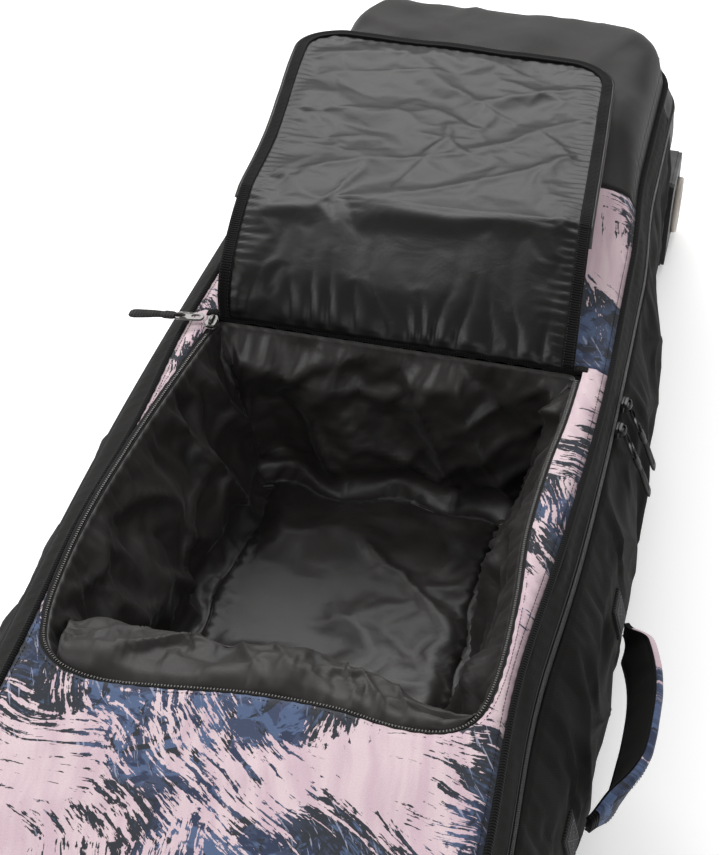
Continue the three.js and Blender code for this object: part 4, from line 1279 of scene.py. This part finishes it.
def flap_point(w, v):
    """A place on the open flap: w across and v up from the hinge, both in flat metres."""
    w, v = np.broadcast_arrays(np.asarray(w, float), np.asarray(v, float))
    k = np.clip(v / FLAP_LENGTH, 0, 1)
    side = (w / FLAP_HALF + 1) / 2
    left = -0.1575 - 0.038 * k ** 0.95 - 0.002 * np.sin(k * 9)
    right = 0.1560 - 0.0225 * k - 0.0080 * k ** 3 - 0.0025 * np.sin(k * math.pi)
    x = left + (right - left) * side
    ly, lz = along_profile(FLAP_LEFT, v)
    ry, rz = along_profile(FLAP_RIGHT, v)
    s = np.clip(side, -0.05, 1.05)
    y, z = ly + (ry - ly) * s, lz + (rz - lz) * s
    calm = smoothstep(0.0, 0.12, v)
    z = z + calm * 2.0 * MM * clouds(w / 0.12, v / 0.14, 90, 2)
    return np.stack([x, y, z], axis=-1)


def flap_normal(w, v):
    """The way the lining faces at a place on the flap."""
    e = 1.5 * MM
    dv = flap_point(w, v + e) - flap_point(w, np.maximum(v - e, 0))
    dw = flap_point(w + e, v) - flap_point(w - e, v)
    return unit(np.cross(dw, dv))


def flap_relief(w, v):
    """Height of the lining's creases above the flap."""
    edge, top = FLAP_HALF - 0.009 - np.abs(w), FLAP_LENGTH - 0.009 - v
    rim = smoothstep(0.0, 0.020, np.minimum(edge, top))
    crest = 0.122 + 0.016 * (w / FLAP_HALF) + 0.004 * noise(w / 0.035, 0, 108)  # where the flap folds back
    z = layered(w, v, 0.4, (2.3, 101, 0.55, 0.060, 0.20, 1.0), (1.6, 104, -0.35, 0.050, 0.17, 1.0))
    z = z + 1.1 * MM * clouds(w / 0.05, v / 0.04, 106, 3)
    sharp = folds(w, v, 121, 0.30, 0.034, 0.11, 3.0) + folds(w, v, 124, -0.62, 0.038, 0.12, 3.0)
    z = z + 0.55 * MM * (sharp - 0.3) + 0.4 * MM * folds(w, v, 127, 1.05, 0.030, 0.09, 3.4)
    root = 1 - smoothstep(crest - 0.022, crest + 0.012, v)
    z = z * (1 - 0.8 * bell(v, crest, 0.030)) * (1 - 0.72 * root) * rim
    z = z + 2.0 * MM * bell(v, crest, 0.010) * rim
    dw, dv = w - 0.012, v - 0.255  # a star of five short creases
    for a in (0.4 + i * 2 * math.pi / 5 for i in range(5)):
        along, off = dw * math.cos(a) + dv * math.sin(a), dv * math.cos(a) - dw * math.sin(a)
        z = z + 1.6 * MM * bell(off, 0, 0.0045) * bell(along, 0.016, 0.014)
    rib = gathers(v, 0.0092, 2.2 * noise(v / 0.03, w / 0.2, 110))
    z = z + 0.75 * MM * rib * np.exp(-np.abs(edge - 0.006) / 0.009) * smoothstep(0.0, 0.004, edge)
    rib = gathers(w, 0.012, 2.0 * noise(w / 0.03, 0, 111))
    z = z + 0.4 * MM * rib * np.exp(-np.abs(top - 0.006) / 0.008) * smoothstep(0.0, 0.004, top)
    gather = np.abs(np.sin(w * math.pi / 0.021 + 3.4 * noise(w / 0.045, v / 0.08, 112)))
    gather = gather * (0.75 + 0.45 * noise(w / 0.028, 0, 115))
    spread = np.exp(-np.maximum(v - 0.008, 0) / (0.027 + 0.016 * noise(w / 0.03, 0, 113)))
    gather = (5.6 * MM * (gather ** 0.8 - 0.2)) * spread
    gather = gather * smoothstep(0.0, 0.012, v) * smoothstep(0.0, 0.012, edge)
    return np.maximum(z + gather, -1.2 * MM)


def flap_grid(margin, columns, rows):
    """Flat coordinates of a panel that fills the flap inside a margin, corners rounded."""
    half = FLAP_HALF - margin
    turn = np.linspace(-1, 1, columns)
    w = half * np.sin(turn * math.pi / 2) * 0.25 + half * turn * 0.75
    radius = FLAP_CORNER - margin * 0.6
    over = np.maximum(np.abs(w) - (half - radius), 0)
    top = FLAP_LENGTH - margin - (radius - np.sqrt(np.maximum(radius ** 2 - over ** 2, 0)))
    k = np.linspace(0, 1, rows)[:, None]
    return np.broadcast_to(w[None, :], (rows, columns)), 0.0015 + (top[None, :] - 0.0015) * k


def flap_edge(inset):
    """The flap's edge in flat coordinates: up the left, across the free edge, down the right."""
    half, top, r = FLAP_HALF - inset, FLAP_LENGTH - inset, FLAP_CORNER - inset
    turns = np.linspace(0, math.pi / 2, 14)
    left = [(-half + r - r * math.cos(a), top - r + r * math.sin(a)) for a in turns]
    right = [(half - r + r * math.sin(a), top - r + r * math.cos(a)) for a in turns]
    return even(np.array([(-half, 0.0015), *left, *right, (half, 0.0015)]), 420)


def on_flap(name, solid, material, slot, *nodes):
    """Makes a piece of the flap, fixed in place and put on neither body."""
    obj = make(name, solid[0], solid[1], MATERIALS[material], *solid[2:])
    if nodes:
        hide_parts(*nodes)
    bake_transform(obj)
    return obj


def flap_sheet(name, w, v, flat, faces, thickness, shift, slot, *nodes):
    """One of the flap's two layers of cloth, sewn into its corded edge."""
    uv = np.stack([w + shift[0], v + shift[1]], -1).reshape(-1, 2)
    obj = on_flap(name, thick(flat, faces, thickness, uv), slot, slot, *nodes)


def build_flap():
    """Creased lining, printed shell behind it, the corded edge with its stitches, and the zip's half."""
    w, v = flap_grid(FLAP_MARGIN, 120, 150)
    base = flap_point(w, v) + flap_normal(w, v) * 1.0 * MM
    flat = (base + flap_normal(w, v) * flap_relief(w, v)[..., None]).reshape(-1, 3)
    faces = grid_faces(*w.shape)
    flat = relax(flat, faces, held(*w.shape, 2, 2, 2), grow=0.007, frames=12, cap=2.5 * MM, bend=1.2)
    flap_sheet("flap_lining_cloth", w, v, flat, faces, 0.7 * MM, (0, 0), "lining",
               "flap_lining", "flap_root_lining")

    w, v = flap_grid(FLAP_MARGIN, 74, 100)
    puff = 1.2 * MM * clouds(w / 0.07, v / 0.07, 120, 3)
    flat = (flap_point(w, v) - flap_normal(w, v) * (3.9 * MM + puff)[..., None]).reshape(-1, 3)
    faces = grid_faces(*w.shape)[:, ::-1]
    flap_sheet("flap_print_cloth", w, v, flat, faces, 1.2 * MM, (0.4, -0.31), "print",
               "flap_shell", "flap_root_shell")

    edge = flap_edge(0.0055)
    out = -right_of(tangents(edge))
    place, beyond = edge.T, (edge + out * 1.5 * MM).T
    normal = flap_normal(*place)
    side = unit(flap_point(*beyond) - flap_point(*place))
    path = flap_point(*place) + normal * (0.9 * MM * noise(np.arange(len(edge)) / 9.0, 0, 14))[:, None]
    profile = np.array([(5.5, 0.0), (5.2, 1.9), (4.2, 2.8), (2.0, 2.6), (0.0, 2.3), (-2.6, 2.6), (-4.2, 3.1),
                        (-5.3, 2.5), (-5.5, 0.8), (-5.5, -0.8), (-5.2, -2.4), (-2.6, -2.7), (2.0, -2.7),
                        (4.4, -2.6), (5.3, -1.6)]) * MM
    on_flap("flap_edge_binding", sweep(path, side, normal, profile), "binding", "binding", "flap_binding",
            "flap_root_binding")
    sewn = [teeth(path, side, normal, 3.4, (2.4, 0.5, 0.5), *at) for at in ((-4.2, 3.0), (3.4, 2.6))]
    on_flap("flap_stitching", join(sewn), "thread", "binding")
    path, side, normal = (a[edge[:, 1] > FLAP_ZIP_FROM] for a in (path, side, normal))
    coil = teeth(path, side, normal, 1.55, (1.0, 2.4, 1.6), 6.8, 0.2)
    cord = sweep(path, side, normal, oval(1.1 * MM, 0.8 * MM, 8) + np.array([5.8 * MM, 0.0]))
    on_flap("flap_zip_coil", join([coil, cord[:2]]), "coil", "zip", "flap_zip")


# ---------------------------------------------------------------- small shaped parts

def rounded(half_x, half_y, radius, steps=6):
    """A rectangle's outline with round corners."""
    points = []
    for x, y, start in ((1, 1, 0), (-1, 1, 1), (-1, -1, 2), (1, -1, 3)):
        x, y = x * (half_x - radius), y * (half_y - radius)
        turns = [math.pi / 2 * (start + i / steps) for i in range(steps + 1)]
        points += [(x + radius * math.cos(a), y + radius * math.sin(a)) for a in turns]
    return np.array(points)


def cast(name, outline, holes, thickness, bevel, material, place):
    """A flat outline with holes, thick along its own Z, with rolled edges, put by a matrix."""
    flat, faces = region(densify(outline, 0.004), [densify(h, 0.004) for h in holes], 0.004)
    count = len(flat)
    verts = np.vstack([np.column_stack([flat, np.full(count, z)]) for z in (thickness / 2, -thickness / 2)])
    obj = make(name, verts, closed_solid(faces, count), material)
    roll_edges(obj, bevel, 50)
    apply_modifiers(obj)
    obj.data.transform(place)
    return obj


def roll_edges(obj, width, sharper_than, harden=False):
    """Bevels the edges that turn by more than so many degrees."""
    mod = obj.modifiers.new("edge", "BEVEL")
    mod.width, mod.segments, mod.limit_method = width, 3, "ANGLE"
    mod.angle_limit, mod.harden_normals = math.radians(sharper_than), harden


def frame_at(origin, x_axis, z_axis):
    """A matrix whose local X and Z point the given ways."""
    x, z = Vector(x_axis).normalized(), Vector(z_axis).normalized()
    y = z.cross(x)
    x = y.cross(z)
    m = Matrix((x, y, z)).transposed().to_4x4()
    m.translation = Vector(origin)
    return m


def absorb(target, *others):
    """Joins other meshes into one object, keeping their materials."""
    bpy.ops.object.select_all(action="DESELECT")
    for o in (target, *others):
        o.select_set(True)
    bpy.context.view_layer.objects.active = target
    bpy.ops.object.join()
    return target


def pull(name, pivot, down, face, kind, nodes):
    """Link with an oval eye, then a crimped tab: down is where it points, face its flat side."""
    down, face = Vector(down).normalized(), Vector(face).normalized()
    at = lambda d, off=0.0: Vector(pivot) + down * d + face * off
    eye = rounded(4.2 * MM, 2.3 * MM, 2.2 * MM) + np.array([-6.0 * MM, 0])
    opening = rounded(3.0 * MM, 1.9 * MM, 1.8 * MM) + np.array([6.5 * MM, 0])
    shape = rounded(13.0 * MM, 5.0 * MM, 4.2 * MM, 8)
    shape[:, 1] *= 1 - 0.22 * bell(shape[:, 0], -0.001, 0.005)
    place = frame_at(at(0.0132), down, face)
    link = cast(f"{name}_link_body", shape, [eye, opening], 2.0 * MM, 0.55 * MM, MATERIALS[kind], place)
    put(link, name, kind, nodes[0])

    loop = spline([list(at(d, off)) for d, off in ((0.0202, -1.9 * MM), (0.0187, 0.0), (0.0202, 1.9 * MM),
                                                   (0.0230, 2.0 * MM), (0.027, 1.6 * MM))], 22)
    across = everywhere(face.cross(down), len(loop))
    strap = sweep(loop, across, unit(np.cross(tangents(loop), across)), oval(1.7 * MM, 0.6 * MM, 10, 3))
    lay(f"{name}_tab_loop", strap, "webbing", name, "webbing")

    length, start = 0.043, 0.0262
    d = np.linspace(0, 1, 46)
    width = np.interp(d, [0, 0.05, 0.22, 0.27, 0.55, 0.86, 0.95, 1.0],
                      [3.6, 4.6, 4.8, 3.9, 5.0, 5.8, 5.2, 3.4]) * MM
    thick = np.interp(d, [0, 0.05, 0.22, 0.27, 0.6, 0.95, 1.0], [1.5, 1.9, 1.9, 1.35, 1.55, 1.4, 0.7]) * MM
    spine = np.array([list(at(start + length * k, 0.5 * MM * math.sin(k * 5))) for k in d])
    ring = oval(1, 1, 16, 3.2)
    across, up = everywhere(face.cross(down), len(d)), everywhere(face, len(d))
    verts = (spine[:, None] + across[:, None] * (ring[None, :, :1] * width[:, None, None])
             + up[:, None] * (ring[None, :, 1:] * thick[:, None, None])).reshape(-1, 3)
    faces = [grid_faces(len(d), len(ring), wrap=True), *caps(len(ring), len(d) - 1)]
    uv = np.stack(np.meshgrid(d * length, np.linspace(0, 0.02, len(ring)), indexing="ij"), -1).reshape(-1, 2)
    moulded = kind == "gloss"
    material = "rubber" if moulded else "webbing"
    face_outwards(lay(f"{name}_tab_body", (verts, faces, uv), material, name, "webbing", nodes[1]))
    ribs = teeth(spine[15:40], across[15:40], up[15:40], 2.2, (0.9, 6.4, 0.5), 0, 1.6)
    lay(f"{name}_tab_ribs", ribs, "rubber" if moulded else "thread", name, "webbing")


def slider(node, middle, out, run, half_run, half_across, height, kind):
    """Zip slider: a waisted base plate, a crowned top plate and the bridge its pull hangs from."""
    name, material = node + "_body", MATERIALS[kind]
    base = rounded(half_run, half_across, half_across * 0.7, 8)
    base[:, 1] *= 1 - 0.20 * smoothstep(0.1 * half_run, half_run, base[:, 0])
    neck = rounded(half_run * 0.22, half_across * 0.5, 0.4 * MM)
    plates = [cast(name + label, shape, [], height * thick, bevel, material,
                   frame_at(Vector(middle) + Vector(out) * height * lift, run, out))
              for label, shape, lift, thick, bevel in (("", base, -0.28, 0.26, 0.45 * MM),
                                                       ("_top", base * 0.94, 0.20, 0.30, 0.6 * MM),
                                                       ("_post", neck, 0.0, 0.5, 0.2 * MM))]
    o, r = np.array(Vector(out).normalized()), np.array(Vector(run).normalized())
    c = np.array(middle) + o * height * 0.30
    arch = spline([c + r * half_run * along + o * height * up for along, up in
                   ((-0.72, 0), (-0.6, 0.34), (0, 0.50), (0.6, 0.34), (0.72, 0))], 24)
    side = everywhere(np.cross(o, r), len(arch))
    bridge = sweep(arch, side, unit(np.cross(tangents(arch), side)), oval(1.5 * MM, 0.7 * MM, 10, 2.6))
    obj = absorb(*plates, make(name + "_bridge", bridge[0], bridge[1], material))
    put(obj, node, kind, node)


def build_sliders():
    """Two sliders of the main zip and the boot zip's one, each with its pull."""
    lean = math.radians(24)
    down, face = (math.sin(lean), 0.0, -math.cos(lean)), (math.cos(lean), 0.0, math.sin(lean))
    for i in (1, 2):
        low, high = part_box(f"main_slider_{i}")
        middle = [(a + b) / 2 for a, b in zip(low, high)]
        middle[0] += 1.0 * MM
        slider(f"main_slider_{i}", middle, (1, 0, 0.12), (0, 1, 0), 8 * MM, 4.8 * MM, 6.6 * MM, "gloss")
        pull(f"main_pull_{i}", (high[0] + 2.2 * MM, middle[1], ZIP_Z - 2 * MM), down, face, "gloss",
             (f"main_pull_{i}_link", f"main_pull_{i}_tab"))
    low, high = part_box("boot_slider")
    middle = [(a + b) / 2 for a, b in zip(low, high)]
    slider("boot_slider", middle, (0, 0, 1), (0.03, 1, 0), 8 * MM, 5 * MM, 5.6 * MM, "metal")
    lean = math.radians(84)
    pull("boot_pull", (middle[0] - 7 * MM, middle[1], 0.2134), (-math.sin(lean), 0, -math.cos(lean)),
         (-math.cos(lean), 0, math.sin(lean)), "metal", ("boot_pull_link", "boot_pull_tab"))


# ---------------------------------------------------------------- handles

def arch_line(reach, half_span, count):
    """How far a handle's grip stands off and where along, from one end at t = -1 to the other at 1."""
    t = np.linspace(-1, 1, count)
    return reach * (1 - np.abs(t) ** 2.6), t * half_span, 1 - np.abs(t), t


def build_side_handle():
    """Padded grip: printed outside, plain inside, corded edges, tapering to folded ends."""
    low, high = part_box("side_handle_grip")
    x, y, inner, t = arch_line(high[0] - low[0] - 0.0175, (high[1] - low[1]) / 2, 110)
    count = len(t)
    path = np.column_stack([low[0] + 0.0015 + x, HANDLE_Y + y, np.full(count, HANDLE_Z)])
    up = everywhere(UP, count)
    out = unit(np.cross(tangents(path), up))
    tall = (7.0 + 10.5 * smoothstep(0, 0.24, inner)) * MM
    thick = (2.6 + 2.8 * smoothstep(0, 0.3, inner)) * MM
    lean = math.radians(36) * (smoothstep(-0.05, 0.75, 1 + t) * smoothstep(0, 0.25, 1 - t))[:, None]
    up, out = up * np.cos(lean) + out * np.sin(lean), out * np.cos(lean) - up * np.sin(lean)
    ring = np.array([(1.0, 0.0), (0.98, 0.5), (0.82, 0.86), (0.35, 1.0), (-0.35, 1.0), (-0.8, 0.86),
                     (-0.9, 0.45), (-0.92, 0.0), (-0.9, -0.45), (-0.8, -0.86), (-0.35, -1.0), (0.35, -1.0),
                     (0.82, -0.86), (0.98, -0.5)])
    along = travelled(path)
    wrinkle = 0.45 * MM * noise(along[:, None] / 0.012, ring[None, :, 1] * 2, 7)
    across = ring[None, :, 1] * tall[:, None]
    verts = (path[:, None] + out[:, None] * (ring[None, :, 0] * thick[:, None] + wrinkle)[..., None]
             + up[:, None] * across[..., None])
    m = len(ring)
    uv = np.stack([np.broadcast_to(along[:, None] + 0.62, (count, m)), across + 0.1], -1)
    faces = [grid_faces(count, m, wrap=True), *caps(m, count - 1)]
    obj = make("side_handle_pad", verts.reshape(-1, 3), faces, MATERIALS["print_handle"], uv.reshape(-1, 2))
    obj.data.materials.append(MATERIALS["binding"])
    obj.data.materials.append(MATERIALS["gusset"])
    for polygon in obj.data.polygons:
        index = polygon.vertices[:]
        at_end = index[0] // m < 4 or index[0] // m > count - 6
        inside_face = all(4 < v % m < 10 for v in index)
        polygon.material_index = 1 if at_end else 2 if inside_face else 0
    put(obj, "side_handle", "print", "side_handle_grip")
    cords, sewn = [], []
    for sign in (1, -1):
        edge = path + up * (sign * tall * 0.90)[:, None] - out * (thick * 0.78)[:, None]
        cords.append(sweep(edge, out, up, oval(1.0 * MM, 1.0 * MM, 8))[:2])
        edge = path + up * (sign * tall * 0.70)[:, None] + out * (thick * 0.93)[:, None]
        sewn.append(teeth(edge[8:-8], up[8:-8], out[8:-8], 3.4, (2.4, 0.55, 0.5), 0, 0.35))
    lay("side_handle_cords", join(cords), "binding", "side_handle", "binding")
    lay("side_handle_stitching", join(sewn), "pale_thread", "side_handle", "binding")


def build_end_handle():
    """A loop of doubled webbing at the top end, widest in the hand."""
    low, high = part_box("end_handle_grip")
    y, x, inner, _ = arch_line(high[1] - low[1] - 0.008, (high[0] - low[0]) / 2, 90)
    count, m = len(x), 16
    path = np.column_stack([x, high[1] - 0.004 - y, np.full(count, END_HANDLE_Z)])
    up = everywhere(UP, count)
    out = unit(np.cross(up, tangents(path))) * -1
    tall = 6.5 + 7.0 * smoothstep(0, 0.2, inner)
    verts, faces, uv = sweep(path, out, up, oval(2.2 * MM, 1.0 * MM, m, 3))
    verts = verts.reshape(count, m, 3)
    verts[..., 2] = END_HANDLE_Z + (verts[..., 2] - END_HANDLE_Z) * tall[:, None]
    solid = verts.reshape(-1, 3), faces, uv
    lay("end_handle_webbing", solid, "webbing", "end_handle", "webbing", "end_handle_grip")
    run = slice(6, -6)
    sewn = [teeth(path[run] + up[run] * s * 9.5 * MM, up[run], out[run] * -1, 3.4, (2.4, 0.5, 0.4), 0, 2.2)
            for s in (1, -1)]
    lay("end_handle_stitching", join(sewn), "thread", "end_handle", "webbing")


def build_anchors():
    """Webbing patches sewn to the walls with a boxed cross, where the handles hold."""
    k = np.linspace(0, 1, 15)
    inner = np.minimum(k, 1 - k)
    rim = 1 - smoothstep(0, 0.14, np.minimum(inner[None, :], inner[:, None]))
    a, b = 0.13, 0.87
    corners = (a, a), (a, b), (b, b), (b, a)
    lines = [[*corners, corners[0]], [corners[0], corners[2]], [corners[3], corners[1]]]
    for name in (f"{handle}_anchor_{i}" for handle in ("side_handle", "end_handle") for i in (1, 2)):
        low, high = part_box(name)
        x, y, z = (low[i] + (high[i] - low[i]) * k for i in range(3))
        if name.startswith("side"):
            grid = side_points(1, y[None, :], z[:, None], -3.0 * MM)
        else:
            length = section(z)[3][:, None]
            grid = np.stack(np.broadcast_arrays(x[None, :], -(length + 3.0 * MM), z[:, None]), -1)
        n = outward(grid)
        grid = grid - n * (1.0 * MM * rim)[..., None]
        uv = np.stack(np.meshgrid(k * (high[2] - low[2]), k * (high[2] - low[2])), -1)
        lay(name + "_patch", wall(grid, uv, 2.4 * MM), "webbing", "bag_base", "webbing", name)
        sewn = []
        for line in lines:
            points = even(np.array([grid[round(p * 14), round(q * 14)] for p, q in line]), 60)
            normal = everywhere(n[7, 7], 60)
            side = unit(np.cross(normal, tangents(points)))
            sewn.append(teeth(points, side, normal, 2.6, (1.9, 0.6, 0.5), 0, 0.25))
        lay(name + "_stitching", join(sewn), "pale_thread", "bag_base", "webbing")


# ---------------------------------------------------------------- inside the base

def build_inside():
    """The two straps that hold the board, and the stiffener in the back."""
    for i in (1, 2):
        low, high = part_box(f"board_strap_{i}")
        x = np.linspace(low[0], high[0], 120)
        y = (low[1] + high[1]) / 2 + 0.8 * MM * noise(x / 0.08, 0, i)
        path = np.column_stack([x, y, low[2] + 0.9 * MM + 0.5 * MM * np.sin(x / 0.03)])
        profile = oval(12.5 * MM, 0.75 * MM, 16, 4)
        strap = sweep(path, everywhere((0, 1, 0), 120), everywhere(UP, 120), profile)
        lay(f"board_strap_{i}_webbing", strap, "webbing", "bag_base", "webbing", f"board_strap_{i}")
    finish_node("back_stiffener", "padding", 0.6 * MM)


def finish_node(name, material, bevel):
    """A CAD part keeps its shape: rounded edges and a better surface."""
    obj = NODES[name]
    obj.data.materials.clear()
    obj.data.materials.append(MATERIALS[material])
    roll_edges(obj, bevel, 38, harden=True)
    for polygon in obj.data.polygons:
        polygon.use_smooth = True


def build_caps():
    """Pale dished cover on each wheel, with five round windows, a boss and a rolled rim."""
    turn = lambda count: np.linspace(0, 2 * math.pi, count, endpoint=False)
    circle = lambda r, count: r * np.stack([np.cos(turn(count)), np.sin(turn(count))], 1)
    holes = [circle(4.6 * MM, 20) + 0.0168 * np.array([math.cos(a), math.sin(a)]) for a in turn(5) + 0.3]
    rim = [(0.0, -3.2), (2.6, -3.0), (2.9, 0.4), (1.6, 2.2), (-0.6, 1.9), (-2.2, 0.6), (-2.4, -2.8)]
    boss = [(0.0, -1.0), (3.4, -1.0), (3.2, 1.6), (2.2, 2.6), (-4.6, 2.6), (-5.6, 1.0), (-5.6, -1.0)]
    ring = np.array([[0, math.cos(a), math.sin(a)] for a in turn(72)])
    for side, label in ((1, "right"), (-1, "left")):
        low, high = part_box(f"wheel_hub_{label}")
        centre = np.array([side * 0.1995, (low[1] + high[1]) / 2, (low[2] + high[2]) / 2])
        place = frame_at(centre, (0, 1, 0), (side, 0, 0))
        name = f"wheel_cap_{label}"
        dish = cast(name, circle(0.0285, 72), holes, 2.6 * MM, 0.5 * MM, MATERIALS["hub"], place)
        put(dish, f"wheel_{label}", "hub")
        out = everywhere((side, 0, 0), 72)
        turned = [sweep(centre + ring * radius, ring, out, np.array(profile) * MM, closed=True)[:2]
                  for profile, radius in ((rim, 0.0282), (boss, 0.0062))]
        face_outwards(lay(f"wheel_cap_trim_{label}", join(turned), "hub", f"wheel_{label}", "hub"))


def finish_hardware():
    """Wheels, housings, kick plate and buckles are the CAD's own shapes."""
    for label in ("right", "left"):
        finish_node(f"wheel_housing_{label}", "plastic", 1.6 * MM)
        finish_node(f"wheel_guard_{label}", "plastic", 0.9 * MM)
        finish_node(f"wheel_hub_{label}", "hub", 0.7 * MM)
        finish_node(f"tyre_{label}", "tyre", 1.2 * MM)
        finish_node(f"axle_{label}", "metal", 0.5 * MM)
    finish_node("kick_plate", "plastic", 1.0 * MM)
    for i in (1, 2):
        finish_node(f"strap_buckle_{i}", "gloss", 0.8 * MM)


# ---------------------------------------------------------------- stage, light and camera

def build_stage():
    """A white floor that glows a little, so that it ends in the white background."""
    m = Nodes("studio_floor")
    place = m.place("Object")
    tint = m.mix(m.noise(place, 3, 3), (0.93, 0.93, 0.93), (0.97, 0.97, 0.97))
    m.finish(tint, 0.7, Specular_IOR_Level=0.2, Emission_Color=(1, 1, 1, 1), Emission_Strength=0.30)
    bpy.ops.mesh.primitive_plane_add(size=14, location=(0, 0, -0.001))
    floor = bpy.context.object
    floor.name = "studio_floor"
    floor.data.materials.append(m.material)


def area_light(name, place, aim, size, watts):
    lamp = bpy.data.lights.new(name, "AREA")
    lamp.shape, lamp.size, lamp.size_y = "RECTANGLE", size[0], size[1]
    lamp.energy = watts
    obj = bpy.data.objects.new(name, lamp)
    bpy.context.scene.collection.objects.link(obj)
    obj.location = place
    obj.rotation_euler = (Vector(aim) - Vector(place)).to_track_quat("-Z", "Y").to_euler()


def build_light():
    """White surroundings and three soft boxes, the strongest behind the bag."""
    world = bpy.data.worlds.new("studio")
    world.use_nodes = True
    back = world.node_tree.nodes["Background"]
    back.inputs[0].default_value = (1.0, 1.0, 1.0, 1)
    back.inputs[1].default_value = 0.27
    bpy.context.scene.world = world
    area_light("far_softbox", (-0.5, 3.1, 2.7), (0, 0.2, 0.2), (3.6, 2.0), 140)
    area_light("left_softbox", (-2.8, -0.6, 2.6), (0, 0, 0.1), (2.4, 2.4), 82)
    area_light("camera_fill", (1.8, -2.4, 2.4), (0, 0, 0.1), (2.0, 2.0), 36)
    bpy.context.scene.view_settings.view_transform = "Standard"


def build_camera():
    """Looks down on the open compartment from in front of it, a little to its right."""
    place = Vector((0.2779, -1.0203, 1.1804))
    yaw, pitch, roll = (math.radians(a) for a in (13.88, 39.90, 0.21))
    ahead = Vector((-math.sin(yaw) * math.cos(pitch), math.cos(yaw) * math.cos(pitch), -math.sin(pitch)))
    right = ahead.cross(Vector((0, 0, 1))).normalized()
    up = right.cross(ahead)
    right, up = right * math.cos(roll) + up * math.sin(roll), up * math.cos(roll) - right * math.sin(roll)
    data = bpy.data.cameras.new("camera")
    data.lens, data.sensor_width = 78.63, 36
    obj = bpy.data.objects.new("camera", data)
    m = Matrix((right, up, -ahead)).transposed().to_4x4()
    m.translation = place
    obj.matrix_world = m
    bpy.context.scene.collection.objects.link(obj)
    bpy.context.scene.camera = obj


for build in (build_stage, build_light, build_camera, build_walls, build_back, build_front, build_piping,
              build_lid_bands, build_main_zip, build_hinge_strip, build_boot_zip, build_tub, build_fold,
              build_flap, build_sliders, build_side_handle, build_end_handle, build_anchors, build_inside,
              build_caps, finish_hardware):
    build()
